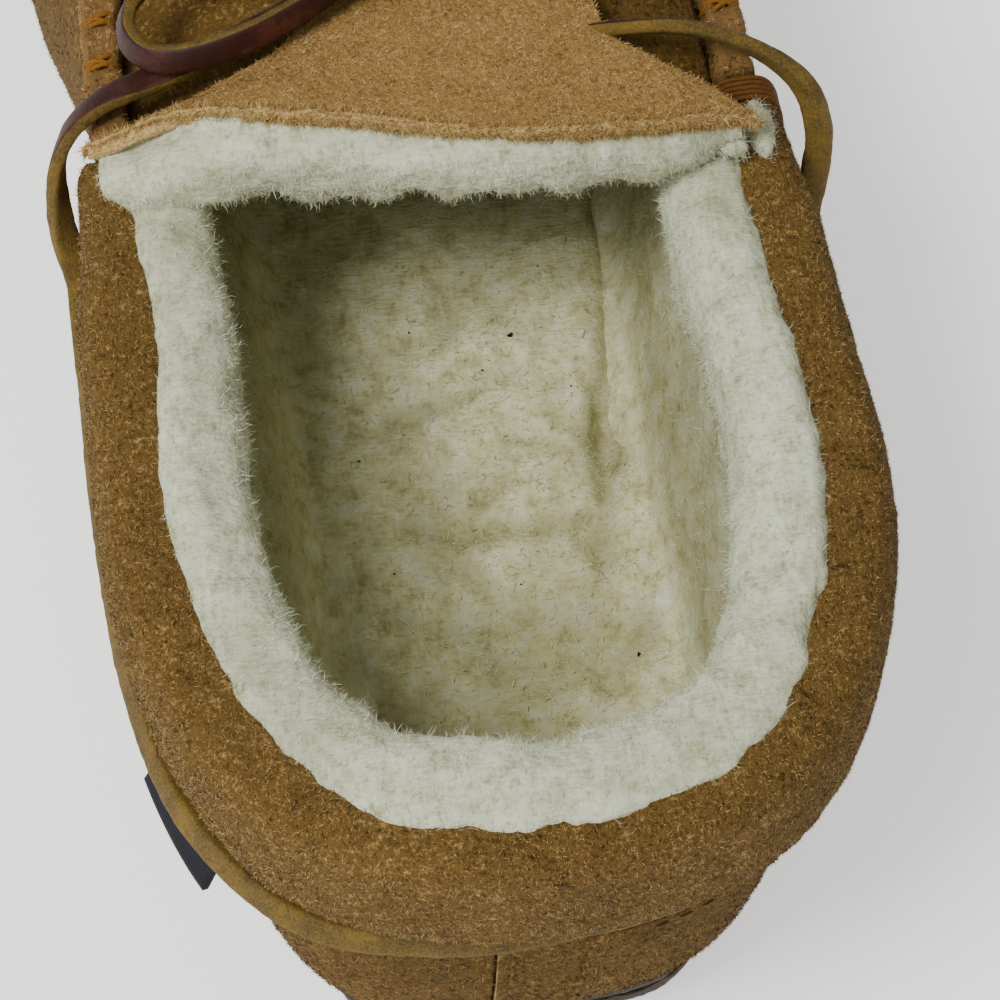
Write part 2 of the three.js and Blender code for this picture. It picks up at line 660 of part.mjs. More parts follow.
const shoe = new THREE.Group();
for (const [name, [geometry, colour, roughness]] of Object.entries(PIECES)) {
  const mesh = new THREE.Mesh(geometry, material(colour, roughness));
  mesh.name = name;
  shoe.add(mesh);
}

// The origin is on the floor under the middle of the shoe, without the free parts of the bow.
const body = new THREE.Box3();
const fixed = shoe.children.filter((mesh) => !/knot|loop|end_/.test(mesh.name));
fixed.forEach((mesh) => body.expandByObject(mesh));
const middle = body.getCenter(new THREE.Vector3());
shoe.position.set(-middle.x, -middle.y, -body.min.z);

export default shoe;
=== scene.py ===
"""Left moccasin slipper: suede, fleece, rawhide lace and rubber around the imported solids.

Sizes are millimetres from the cuff's rear, as in the part's source, and become metres in the part's frame.
"""

from __future__ import annotations

import logging
import math
from dataclasses import dataclass
from enum import Enum
from typing import Callable, Sequence

import bmesh
import bpy
import numpy as np
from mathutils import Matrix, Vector


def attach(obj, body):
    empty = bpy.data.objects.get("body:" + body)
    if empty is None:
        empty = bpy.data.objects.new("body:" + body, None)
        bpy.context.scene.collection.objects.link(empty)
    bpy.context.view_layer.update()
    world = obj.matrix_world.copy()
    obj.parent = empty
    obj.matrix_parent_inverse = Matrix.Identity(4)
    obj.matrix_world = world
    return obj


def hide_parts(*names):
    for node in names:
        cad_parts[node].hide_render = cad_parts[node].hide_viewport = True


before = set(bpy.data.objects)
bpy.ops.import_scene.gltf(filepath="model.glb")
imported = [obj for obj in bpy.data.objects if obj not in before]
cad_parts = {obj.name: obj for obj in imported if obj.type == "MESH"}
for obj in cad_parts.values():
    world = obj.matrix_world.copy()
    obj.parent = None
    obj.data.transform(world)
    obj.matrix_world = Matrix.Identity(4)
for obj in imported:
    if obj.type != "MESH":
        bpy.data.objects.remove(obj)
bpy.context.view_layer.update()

LOG = logging.getLogger("slipper")
BODY = "root"
SHIFT = np.array((-0.049, -142.275, 0.0))  # the part's origin, from the last's
MM = 0.001
UP = np.array((0.0, 0.0, 1.0))


# ---------------------------------------------------------------- numbers


def metres(points: np.ndarray) -> np.ndarray:
    """Turns millimetres of the last into metres of the part's frame."""
    return (np.asarray(points, float) + SHIFT) * MM


def unit(vectors: np.ndarray) -> np.ndarray:
    """Gives vectors the length one."""
    return vectors / np.maximum(np.linalg.norm(vectors, axis=-1, keepdims=True), 1e-12)


def smooth(value: np.ndarray, low: float, high: float) -> np.ndarray:
    """Rises smoothly from 0 at low to 1 at high, and falls where high is the smaller."""
    t = np.clip((np.asarray(value, float) - low) / (high - low), 0, 1)
    return t * t * (3 - 2 * t)


def mixed(a: np.ndarray, b: np.ndarray, share: np.ndarray) -> np.ndarray:
    """Goes from points a to points b by a share for each."""
    share = np.asarray(share, float)[..., None]
    return a * (1 - share) + b * share


def squarer(value: np.ndarray, power: float) -> np.ndarray:
    """A sine or cosine with flatter tops, for a section between an ellipse and a box."""
    return np.sign(value) * np.abs(value) ** power


def cloud(points: np.ndarray, size: float, seed: int = 0, octaves: int = 1) -> np.ndarray:
    """Smooth noise from -1 to 1.

    Args:
        points: places in millimetres.
        size: width of the lumps in millimetres.
        seed: picks one of many patterns.
        octaves: number of layers, each half as wide and half as strong.

    Returns:
        One value for each place.
    """
    total = np.zeros(len(points))
    weight = 0.0
    for layer in range(octaves):
        place = points / size * 2**layer + seed * 7.31 + layer * 3.17 + 400
        cell = np.floor(place).astype(np.int64)
        part = place - cell
        part = part * part * part * (part * (part * 6 - 15) + 10)
        value = np.zeros(len(points))
        for corner in range(8):
            step = np.array([corner >> k & 1 for k in range(3)])
            key = ((cell + step) * np.array((73856093, 19349663, 83492791))).sum(1) + seed * 1013
            key = (key ^ (key >> 13)) * 1274126177 & 0x7FFFFFFF
            key = (key ^ (key >> 15)) * 2246822519 & 0x7FFFFFFF
            factor = np.prod(np.where(step, part, 1 - part), axis=1)
            value += factor * (key / 0x3FFFFFFF - 1)
        total += value * 0.5**layer
        weight += 0.5**layer
    return total / weight


def stepped(rows: Sequence[Sequence[float]], share: np.ndarray) -> list[np.ndarray]:
    """Columns of a table with evenly spread rows, at a share of the way down it."""
    table = np.array(rows, float)
    steps = np.linspace(0, 1, len(table))
    return [np.interp(share, steps, column) for column in table.T]


def along_curve(points: np.ndarray, share: np.ndarray, tension: float = 0.5) -> np.ndarray:
    """Smooth curves through control points.

    Args:
        points: control points, as curve, point, axis.
        share: for each curve, how far along it, from 0 to 1.
        tension: how much the curve leans on its neighbours.

    Returns:
        One point for each curve.
    """
    last = points.shape[1] - 1
    place = np.clip(share, 0, 1) * last
    i = np.minimum(place.astype(int), last - 1)
    t = (place - i)[:, None]
    row = np.arange(len(points))
    a, b, c, d = (points[row, np.clip(i + k, 0, last)] for k in (-1, 0, 1, 2))
    m, n = (c - a) * tension, (d - b) * tension
    return b + m * t + (3 * (c - b) - 2 * m - n) * t**2 + (2 * (b - c) + m + n) * t**3


def walked_along(path: np.ndarray) -> np.ndarray:
    """Length walked up to each point of a path."""
    return np.concatenate([[0], np.cumsum(np.linalg.norm(np.diff(path, axis=0), axis=1))])


def resampled(points: Sequence[Sequence[float]], spacing: float) -> np.ndarray:
    """A smooth path through points, in even steps of about spacing."""
    control = np.asarray(points, float)
    share = np.linspace(0, 1, 40 * len(control))
    fine = along_curve(np.repeat(control[None], len(share), 0), share)
    walked = walked_along(fine)
    steps = max(8, round(walked[-1] / spacing))
    even = np.linspace(0, walked[-1], steps + 1)
    return np.stack([np.interp(even, walked, fine[:, k]) for k in range(3)], axis=1)


# ---------------------------------------------------------------- the last


@dataclass(frozen=True)
class Last:
    """The form of the slipper: its stations and the faces that are worked out from them."""

    length: float = 285
    ball: float = 106
    height: float = 64.5
    wall_thick: float = 2
    gap: float = 0.35
    sole_heel: float = 7.8
    sole_fore: float = 6.4
    toe_spring: float = 9
    arch_rise: float = 2.6
    heel_bevel: float = 0.8
    throat: float = 0.372
    throat_step: float = 0.003
    plug_crown: float = 7
    plug_inset: float = 0.65
    names: tuple[str, ...] = (
        "sole_along", "sole_across", "foot_along", "foot_across", "rim_along", "rim_across",
        "rise", "low", "high", "drop",
    )
    rows: tuple[tuple[float, ...], ...] = (
        (0.033, -0.031, 0.042, -0.03, 0.023, 0, 1.0, 0.08, 0, 0.34),
        (0.046, -0.229, 0.058, -0.216, 0.054, -0.257, 0.99, 0.09, 0, 0.34),
        (0.134, -0.294, 0.135, -0.281, 0.151, -0.382, 0.955, 0.098, -0.014, 0.34),
        (0.274, -0.308, 0.274, -0.29, 0.295, -0.386, 0.945, 0.085, 0.004, 0.31),
        (0.43, -0.358, 0.43, -0.32, 0.43, -0.39, 0.935, 0.085, 0.04, 0.2),
        (0.614, -0.458, 0.607, -0.416, 0.589, -0.352, 0.82, 0.115, 0.185, 0.08),
        (0.765, -0.445, 0.751, -0.404, 0.723, -0.318, 0.7, 0.12, 0.2, 0.07),
        (0.897, -0.315, 0.876, -0.282, 0.846, -0.226, 0.62, 0.14, 0.27, 0.09),
        (0.971, 0.04, 0.944, 0.04, 0.902, 0.034, 0.595, 0.18, 0.365, 0.12),
        (0.903, 0.355, 0.882, 0.32, 0.852, 0.258, 0.62, 0.14, 0.27, 0.09),
        (0.779, 0.452, 0.765, 0.412, 0.733, 0.328, 0.7, 0.12, 0.2, 0.07),
        (0.653, 0.448, 0.646, 0.41, 0.606, 0.35, 0.82, 0.115, 0.185, 0.08),
        (0.463, 0.315, 0.456, 0.272, 0.435, 0.356, 0.94, 0.09, 0.04, 0.2),
        (0.295, 0.255, 0.288, 0.237, 0.295, 0.358, 0.95, 0.075, 0.004, 0.31),
        (0.134, 0.237, 0.135, 0.224, 0.151, 0.37, 0.955, 0.092, -0.014, 0.34),
        (0.046, 0.168, 0.058, 0.158, 0.054, 0.25, 0.99, 0.084, 0, 0.34),
    )

    def column(self, name: str, turn: np.ndarray) -> np.ndarray:
        """Smooth value of a column all the way round, from the middle of the heel."""
        values = np.array(self.rows)[:, self.names.index(name)]
        place = (np.asarray(turn, float) % 1.0) * len(values)
        i = np.floor(place).astype(int)
        t = place - i
        a, b, c, d = (values[(i + k) % len(values)] for k in (-1, 0, 1, 2))
        return 0.5 * (2 * b + (c - a) * t + (2 * a - 5 * b + 4 * c - d) * t**2 + (3 * b - a - 3 * c + d) * t**3)

    def outline(self, part: str, turn: np.ndarray) -> np.ndarray:
        """Points of an outline on the floor."""
        x = self.column(part + "_across", turn) * self.ball
        y = self.column(part + "_along", turn) * self.length
        return np.stack([x, y, np.zeros_like(x)], axis=-1)

    def outward(self, part: str, turn: np.ndarray) -> np.ndarray:
        """Level direction that points out of an outline."""
        run = self.outline(part, turn + 0.002) - self.outline(part, turn - 0.002)
        return unit(np.stack([-run[..., 1], run[..., 0], np.zeros_like(run[..., 0])], axis=-1))

    def sole_lift(self, share: np.ndarray) -> np.ndarray:
        """Underside of the sole above the floor at a share of the length."""
        heel = self.heel_bevel * np.clip((0.07 - share) / 0.07, 0, None) ** 2
        toe = self.toe_spring * (np.clip(share - 0.74, 0, None) / 0.26) ** 2
        arch = self.arch_rise * np.sin(np.pi * np.clip((share - 0.3) / 0.26, 0, 1)) ** 2
        return heel + toe + arch

    def sole_thickness(self, share: np.ndarray) -> np.ndarray:
        """Thickness of the rubber at a share of the length."""
        return self.sole_heel + (self.sole_fore - self.sole_heel) * smooth(share, 0.3, 0.56)

    def face(self, turn: np.ndarray, level: np.ndarray) -> np.ndarray:
        """Outer face of the upper, from 0 at its foot to 1 at its rim."""
        turn, level = np.broadcast_arrays(np.asarray(turn, float), np.asarray(level, float))
        foot = self.outline("foot", turn)
        share = foot[..., 1] / self.length
        foot[..., 2] = self.sole_lift(share) + self.sole_thickness(share) + self.gap
        rim = self.outline("rim", turn)
        rim[..., 2] = self.column("rise", turn) * self.height
        low = foot + self.outward("foot", turn) * (self.column("low", turn) * self.ball)[..., None]
        low[..., 2] += self.wall_thick
        high = rim + self.outward("rim", turn) * (self.column("high", turn) * self.ball)[..., None]
        high[..., 2] -= self.column("drop", turn) * self.height
        t = level[..., None]
        return foot * (1 - t) ** 3 + low * 3 * t * (1 - t) ** 2 + high * 3 * t**2 * (1 - t) + rim * t**3

    def wall(self, turn: np.ndarray, level: np.ndarray, out: np.ndarray) -> np.ndarray:
        """The same face moved out along its normal."""
        across = self.face(turn + 0.003, level) - self.face(turn - 0.003, level)
        rise = self.face(turn, np.minimum(1, level + 0.01)) - self.face(turn, np.maximum(0, level - 0.01))
        normal = unit(np.cross(rise, across))
        return self.face(turn, level) + normal * np.asarray(out, float)[..., None]

    def level_at(self, turn: np.ndarray, height: np.ndarray) -> np.ndarray:
        """Level at which the wall reaches a height."""
        low, high = np.zeros_like(turn), np.ones_like(turn)
        for _ in range(20):
            middle = (low + high) / 2
            below = self.face(turn, middle)[..., 2] < height
            low, high = np.where(below, middle, low), np.where(below, high, middle)
        return (low + high) / 2

    def turn_at(self, share: float, start: float, end: float) -> float:
        """Place round the shoe where the rim reaches a share of the length."""
        for _ in range(30):
            middle = (start + end) / 2
            if self.column("rim_along", middle) < share:
                start = middle
            else:
                end = middle
        return (start + end) / 2

    def throats(self) -> tuple[float, float]:
        """Places round the shoe where the cuff ends, on the outer and the inner side."""
        return self.turn_at(self.throat, 0, 0.5), self.turn_at(self.throat, 1, 0.5)

    def plug(self, down: np.ndarray, across: np.ndarray) -> np.ndarray:
        """Top of the plug, from the throat to the toe and from the outer to the inner side."""
        edges = []
        for start, step in zip(self.throats(), (self.throat_step, -self.throat_step)):
            turn = start + step + (0.5 - start - step) * down
            edge = self.wall(turn, np.ones_like(turn), np.full_like(turn, -self.wall_thick))
            edge = edge - self.outward("rim", turn) * self.plug_inset
            edge[..., 2] = self.column("rise", turn) * self.height
            edges.append(edge)
        point = mixed(edges[0], edges[1], across)
        point[..., 2] += self.plug_crown * (1 - (2 * across - 1) ** 2) * (1 - down**3)
        return point


LAST = Last()
OUTER_THROAT, INNER_THROAT = LAST.throats()


# ---------------------------------------------------------------- meshes


def finished(mesh: bpy.types.Mesh, name: str, slot: str, *finishes: Finish, node: str = "") -> bpy.types.Object:
    """Makes an object of a mesh that is already in place.

    Args:
        mesh: the mesh, in metres.
        name: the piece's name.
        slot: not used.
        finishes: its materials.
        node: the solid that it stands for, if any.

    Returns:
        The piece, smooth and riding on the shoe.
    """
    mesh.name = name
    mesh.update()
    made = bpy.data.objects.new(name, mesh)
    bpy.context.scene.collection.objects.link(made)
    for finish in finishes:
        mesh.materials.append(finish.built())
    mesh.polygons.foreach_set("use_smooth", np.ones(len(mesh.polygons), bool))
    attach(made, BODY)
    if node:
        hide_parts(node)
    LOG.info("%s: %d faces", name, len(mesh.polygons))
    return made


def read(items: bpy.types.bpy_prop_collection, name: str) -> np.ndarray:
    """A property with three parts, such as the place or the normal, of each item of a mesh."""
    flat = np.empty(len(items) * 3)
    items.foreach_get(name, flat)
    return flat.reshape(-1, 3)


def places_of(mesh: bpy.types.Mesh) -> np.ndarray:
    """Places of a mesh's vertices, in millimetres of the last."""
    return read(mesh.vertices, "co") / MM - SHIFT


def surface(
    columns: int,
    rows: int,
    place: Callable[[np.ndarray, np.ndarray], np.ndarray],
    bands: Callable[[np.ndarray, np.ndarray], np.ndarray] | None = None,
    close_ends: bool = False,
) -> bpy.types.Mesh:
    """Bends a flat grid into a surface.

    Args:
        columns: faces along u.
        rows: faces along v.
        place: gives millimetres of the last for u and v from 0 to 1.
        bands: gives the material's number for the middle of each face.
        close_ends: fills the holes that are left.

    Returns:
        The mesh, in metres, with edges that meet joined and normals outwards.
    """
    shape = bmesh.new()
    shape.loops.layers.uv.new("surface")
    bmesh.ops.create_grid(shape, x_segments=columns, y_segments=rows, size=0.5, calc_uvs=True)
    mesh = bpy.data.meshes.new("grid")
    shape.to_mesh(mesh)
    if bands is not None:
        centres = read(mesh.polygons, "center") + 0.5
        mesh.polygons.foreach_set("material_index", bands(centres[:, 0], centres[:, 1]).astype(int))
    flat = read(mesh.vertices, "co") + 0.5
    mesh.vertices.foreach_set("co", metres(place(flat[:, 0], flat[:, 1])).ravel())
    shape.clear()
    shape.from_mesh(mesh)
    bmesh.ops.remove_doubles(shape, verts=shape.verts, dist=2e-6)
    if close_ends:
        edges = [edge for edge in shape.edges if edge.is_boundary]
        bmesh.ops.holes_fill(shape, edges=edges, sides=0)
    bmesh.ops.recalc_face_normals(shape, faces=shape.faces)
    shape.to_mesh(mesh)
    shape.free()
    return mesh


def facing(mesh: bpy.types.Mesh, towards: np.ndarray) -> bpy.types.Mesh:
    """Turns an open surface so that most of it faces a direction."""
    if (read(mesh.polygons, "normal") @ towards).sum() < 0:
        mesh.flip_normals()
    return mesh


def pushed(mesh: bpy.types.Mesh, amount: Callable[[np.ndarray, np.ndarray], np.ndarray]) -> bpy.types.Mesh:
    """Moves vertices along their normals.

    Args:
        mesh: the mesh, in metres.
        amount: gives millimetres for places in millimetres of the last and for normals.

    Returns:
        The same mesh.
    """
    places = read(mesh.vertices, "co")
    normals = read(mesh.vertex_normals, "vector")
    distance = amount(places / MM - SHIFT, normals)
    mesh.attributes.new("relief", "FLOAT", "POINT").data.foreach_set("value", distance.astype(np.float32))
    mesh.vertices.foreach_set("co", (places + normals * distance[:, None] * MM).ravel())
    mesh.update()
    return mesh


def thickened(made: bpy.types.Object, thickness: float, cut: int = 0) -> None:
    """Gives a surface a thickness behind its face, in millimetres, and its cut edges their own material."""
    wall = made.modifiers.new("wall", "SOLIDIFY")
    wall.thickness = thickness * MM
    wall.offset = -1
    wall.material_offset_rim = cut


def joined(parts: Sequence[tuple[np.ndarray, np.ndarray]]) -> bpy.types.Mesh:
    """Joins many small meshes, each given as vertices in millimetres and quads."""
    vertices, faces, start = [], [], 0
    for points, quads in parts:
        vertices.append(points)
        faces.append(quads + start)
        start += len(points)
    mesh = bpy.data.meshes.new("joined")
    mesh.from_pydata(metres(np.concatenate(vertices)).tolist(), [], np.concatenate(faces).tolist())
    return mesh


def frames_along(path: np.ndarray, start: np.ndarray) -> tuple[np.ndarray, np.ndarray, np.ndarray]:
    """Carries a direction along a path without twisting it.

    Args:
        path: points in even steps.
        start: the direction at the first point.

    Returns:
        Tangents, the carried normals, and the sides square to both.
    """
    tangents = unit(np.gradient(path, axis=0))
    normals = np.empty_like(path)
    now = np.asarray(start, float)
    for i, tangent in enumerate(tangents):
        now = now - tangent * (now @ tangent)
        now = now / max(np.linalg.norm(now), 1e-9)
        normals[i] = now
    return tangents, normals, np.cross(tangents, normals)


def tube(path: np.ndarray, radius: float, sides: int = 6) -> tuple[np.ndarray, np.ndarray]:
    """A round thread along a path, with pointed ends, as vertices and quads."""
    start = UP if abs(unit(path[1] - path[0])[2]) < 0.9 else np.array((1.0, 0.0, 0.0))
    _, normals, across = frames_along(path, start)
    turn = np.arange(sides) * 2 * np.pi / sides
    size = np.full(len(path), radius)
    size[[0, -1]] *= 0.35
    ring = np.cos(turn)[None, :, None] * normals[:, None] + np.sin(turn)[None, :, None] * across[:, None]
    points = path[:, None] + ring * size[:, None, None]
    i, k = np.meshgrid(np.arange(len(path) - 1), np.arange(sides), indexing="ij")
    a, b = i * sides + k, i * sides + (k + 1) % sides
    quads = np.stack([a, b, b + sides, a + sides], axis=-1).reshape(-1, 4)
    return points.reshape(-1, 3), quads


@dataclass(frozen=True)
class Nap:
    """Loose fibres on a surface: sizes in millimetres, rise from 0 lying to 1 standing."""

    count: int
    shortest: float
    longest: float
    width: float
    rise: float
    curl: float
    steps: int
    seed: int

    def grow(
        self,
        source: bpy.types.Mesh,
        where: Callable[[np.ndarray, np.ndarray], np.ndarray] | None = None,
        comb: Callable[[np.ndarray, np.ndarray], np.ndarray] | None = None,
    ) -> bpy.types.Mesh:
        """Grows the fibres on a mesh.

        Args:
            source: the surface, in metres.
            where: gives a weight for places in millimetres of the last and for normals.
            comb: gives the direction in which the fibres are combed there.

        Returns:
            One mesh of narrow ribbons with a shade for each fibre.
        """
        draw = np.random.default_rng(self.seed)
        source.calc_loop_triangles()
        index = np.empty(len(source.loop_triangles) * 3, int)
        source.loop_triangles.foreach_get("vertices", index)
        corners = places_of(source)[index.reshape(-1, 3)]
        across = np.cross(corners[:, 1] - corners[:, 0], corners[:, 2] - corners[:, 0])
        weight = np.linalg.norm(across, axis=1)
        normals = unit(across)
        if where is not None:
            weight = weight * where(corners.mean(1), normals)
        chosen = draw.choice(len(weight), self.count, p=weight / weight.sum())
        a, b = draw.random((2, self.count, 1))
        flip = a + b > 1
        a, b = np.where(flip, 1 - a, a), np.where(flip, 1 - b, b)
        corner = corners[chosen]
        base = corner[:, 0] + a * (corner[:, 1] - corner[:, 0]) + b * (corner[:, 2] - corner[:, 0])
        normal = normals[chosen]
        lying = draw.normal(size=(self.count, 3))
        if comb is not None:
            lying = lying * 0.55 + comb(base, normal)
        lying = unit(lying - normal * (lying * normal).sum(1, keepdims=True))
        size = draw.uniform(self.shortest, self.longest, (self.count, 1))
        way = unit(lying * (1 - self.rise) + normal * self.rise)
        wide = unit(np.cross(way, normal) + draw.normal(size=(self.count, 3)) * 0.35) * self.width / 2
        point = base - normal * 0.15
        rings = []
        for step in range(self.steps):
            taper = 1 - 0.55 * step / self.steps
            rings += [point - wide * taper, point + wide * taper]
            point = point + way * size / self.steps
            way = unit(way + draw.normal(size=(self.count, 3)) * self.curl - normal * self.rise * 0.35)
        rings.append(point)
        points = np.stack(rings, axis=1)
        per = points.shape[1]
        start = (np.arange(self.count) * per)[:, None]
        quads = [np.concatenate([start + 2 * k + n for n in (0, 1, 3, 2)], 1) for k in range(self.steps - 1)]
        tips = np.concatenate([start + per - 3, start + per - 2, start + per - 1], 1)
        mesh = bpy.data.meshes.new("fibres")
        faces = np.concatenate(quads).tolist() + tips.tolist() if quads else tips.tolist()
        mesh.from_pydata(metres(points.reshape(-1, 3)).tolist(), [], faces)
        shade = mesh.attributes.new("shade", "FLOAT", "POINT")
        shade.data.foreach_set("value", np.repeat(draw.random(self.count), per).astype(np.float32))
        return mesh


NAPS = {
    # count, shortest, longest, width, rise, curl, steps, seed
    "upper_nap": Nap(60000, 0.6, 1.6, 0.18, 0.3, 0.4, 1, 11),
    "plug_nap": Nap(24000, 0.5, 1.4, 0.16, 0.3, 0.4, 1, 12),
    "seam_nap": Nap(22000, 0.4, 1.2, 0.16, 0.4, 0.4, 1, 13),
    "cuff_nap": Nap(180000, 0.35, 1.1, 0.15, 0.34, 0.4, 1, 21),
    "heel_patch_outer_nap": Nap(13500, 0.5, 1.5, 0.18, 0.3, 0.4, 1, 181),
    "heel_patch_inner_nap": Nap(13590, 0.5, 1.5, 0.18, 0.3, 0.4, 1, 182),
    "back_strip_nap": Nap(3600, 0.5, 1.5, 0.18, 0.3, 0.4, 1, 71),
    "tongue_nap": Nap(52000, 0.5, 1.3, 0.16, 0.25, 0.4, 1, 41),
    "tongue_edge_nap": Nap(14000, 0.6, 1.7, 0.16, 0.4, 0.4, 1, 46),
    "tongue_wool": Nap(22000, 0.8, 2.4, 0.08, 0.14, 0.75, 3, 42),
    "lining_wool": Nap(36000, 1.2, 2.8, 0.08, 0.1, 0.75, 3, 51),
    "footbed_wool": Nap(22000, 1.2, 3.4, 0.13, 0.08, 0.8, 3, 52),
    "tuft_wool_0": Nap(1400, 0.8, 2.2, 0.08, 0.15, 0.75, 3, 90),
}


def napped(
    source: bpy.types.Mesh, name: str, slot: str, finish: Finish,
    where: Callable[[np.ndarray, np.ndarray], np.ndarray] | None = None,
    comb: Callable[[np.ndarray, np.ndarray], np.ndarray] | None = None,
) -> None:
    """Covers a surface with the fibres that its row of NAPS gives, as a piece of their own."""
    finished(NAPS[name].grow(source, where, comb), name, slot, finish)


# ---------------------------------------------------------------- materials


def srgb(red: int, green: int, blue: int) -> tuple[float, float, float, float]:
    """Colour as the eye names it, from 0 to 255, made linear."""
    linear = [((c / 255 + 0.055) / 1.055) ** 2.4 if c > 10 else c / 255 / 12.92 for c in (red, green, blue)]
    return (*linear, 1.0)


def math_node(operation: str, turned: bool = False) -> Callable[[Value, Value | float], Value]:
    """An operator of Value that adds one Math node, turned where the other number comes first."""

    def method(self: Value, other: Value | float) -> Value:
        """Works out self and other."""
        a, b = (other, self) if turned else (self, other)
        node = self.net.node("ShaderNodeMath", {"operation": operation}, {0: a, 1: b})
        return Value(self.net, node.outputs[0])

    return method


class Value:
    """A number that changes over a surface, for use in Python's own expressions."""

    def __init__(self, net: Net, socket: bpy.types.NodeSocket) -> None:
        """Wraps a socket of a net."""
        self.net = net
        self.socket = socket

    __add__, __radd__ = math_node("ADD"), math_node("ADD", True)
    __sub__, __rsub__ = math_node("SUBTRACT"), math_node("SUBTRACT", True)
    __mul__, __rmul__ = math_node("MULTIPLY"), math_node("MULTIPLY", True)


class Net:
    """The nodes of one material."""

    def __init__(self, name: str) -> None:
        """Starts an empty material."""
        self.material = bpy.data.materials.new(name)
        self.material.use_nodes = True
        self.tree = self.material.node_tree
        self.tree.nodes.clear()
        self.place = self.node("ShaderNodeTexCoord").outputs["Object"]

    def node(self, kind: str, settings: dict | None = None, inputs: dict | None = None) -> bpy.types.Node:
        """Adds a node.

        Args:
            kind: the node's type.
            settings: its own settings; stops are a ramp's places and colours.
            inputs: numbers, colours or links for its sockets, by name or number.

        Returns:
            The node.
        """
        node = self.tree.nodes.new(kind)
        for key, value in (settings or {}).items():
            if key == "stops":
                self.set_stops(node.color_ramp, value)
            else:
                setattr(node, key, value)
        for key, value in (inputs or {}).items():
            link = value.socket if isinstance(value, Value) else value
            if isinstance(link, bpy.types.NodeSocket):
                self.tree.links.new(link, node.inputs[key])
            else:
                node.inputs[key].default_value = value
        return node

    @staticmethod
    def set_stops(ramp: bpy.types.ColorRamp, stops: Sequence[tuple[float, tuple]]) -> None:
        """Sets a ramp's stops."""
        while len(ramp.elements) < len(stops):
            ramp.elements.new(1)
        for element, (position, colour) in zip(ramp.elements, stops):
            element.position = position
            element.color = colour

    def noise(self, size: float, detail: float = 2, rough: float = 0.5, place: object = None) -> Value:
        """Noise with lumps of a size in millimetres."""
        inputs = {"Vector": place or self.place, "Scale": 1 / (size * MM), "Detail": detail, "Roughness": rough}
        return Value(self, self.node("ShaderNodeTexNoise", None, inputs).outputs[0])

    def stretched(self, scale: tuple[float, float, float], turn: tuple[float, float, float]) -> bpy.types.NodeSocket:
        """Object coordinates, turned and stretched."""
        inputs = {"Vector": self.place, "Scale": scale, "Rotation": turn}
        return self.node("ShaderNodeMapping", None, inputs).outputs[0]

    def attribute(self, name: str) -> Value:
        """A piece's own attribute."""
        return Value(self, self.node("ShaderNodeAttribute", {"attribute_name": name}).outputs["Fac"])

    def height(self) -> Value:
        """Height above the floor, in metres."""
        return Value(self, self.node("ShaderNodeSeparateXYZ", None, {0: self.place}).outputs[2])

    def ramp(self, value: Value, *stops: tuple[float, tuple]) -> bpy.types.NodeSocket:
        """Colours for a value."""
        return self.node("ShaderNodeValToRGB", {"stops": stops}, {0: value}).outputs[0]

    def step(self, value: Value, low: float, high: float) -> Value:
        """Goes from 0 to 1 between two values."""
        inputs = {"Value": value, "From Min": low, "From Max": high}
        node = self.node("ShaderNodeMapRange", {"interpolation_type": "SMOOTHSTEP", "clamp": True}, inputs)
        return Value(self, node.outputs[0])

    def mix(self, share: Value | float, a: object, b: object) -> bpy.types.NodeSocket:
        """Mixes two colours."""
        return self.node("ShaderNodeMix", {"data_type": "RGBA"}, {0: share, 6: a, 7: b}).outputs[2]

    def bands(self, direction: str, scale: float) -> Value:
        """Ribs of a weave across an axis."""
        settings = {"wave_type": "BANDS", "bands_direction": direction}
        inputs = {"Vector": self.place, "Scale": scale, "Distortion": 0.6}
        return Value(self, self.node("ShaderNodeTexWave", settings, inputs).outputs["Fac"])

    def finish(
        self,
        colour: object,
        roughness: Value | float,
        height: Value | None = None,
        depth: float = 0.3,
        extra: dict | None = None,
    ) -> bpy.types.Material:
        """Closes the net with a shader.

        Args:
            colour: base colour.
            roughness: roughness.
            height: relief from 0 to 1.
            depth: depth of the relief in millimetres.
            extra: numbers for the shader's own sockets.

        Returns:
            The material.
        """
        inputs = {"Base Color": colour, "Roughness": roughness, **(extra or {})}
        if height is not None:
            bump = self.node("ShaderNodeBump", None, {"Height": height, "Distance": depth * MM, "Strength": 1.0})
            inputs["Normal"] = bump.outputs[0]
        shader = self.node("ShaderNodeBsdfPrincipled", None, inputs)
        self.node("ShaderNodeOutputMaterial", None, {0: shader.outputs[0]})
        return self.material


@dataclass(frozen=True)
class Suede:
    """Napped suede: dark ground, middle tone and light fibres."""

    name: str
    dark: tuple
    middle: tuple
    light: tuple
    grain: float = 0.75
    depth: float = 0.5

    def material(self) -> bpy.types.Material:
        """Builds the material."""
        net = Net(self.name)
        fine = net.noise(self.grain, 3, 0.72)
        hairs = net.noise(0.5, 2, 0.6, net.stretched((1, 0.35, 1), (0.4, 0.3, 0.7)))
        cross = net.noise(0.55, 2, 0.6, net.stretched((0.35, 1, 0.8), (0.2, 0.9, 0.3)))
        brushed = net.noise(5, 2, 0.6)
        worn = net.noise(22, 1, 0.5)
        tone = fine * 0.5 + hairs * 0.25 + cross * 0.25
        tone = tone + (brushed - 0.5) * 0.16 + (worn - 0.5) * 0.14
        colour = net.ramp(tone, (0.36, self.dark), (0.47, self.middle), (0.55, self.middle), (0.66, self.light))
        return net.finish(colour, 0.95, fine * 0.65 + hairs * 0.35, self.depth, {"Specular IOR Level": 0.2})


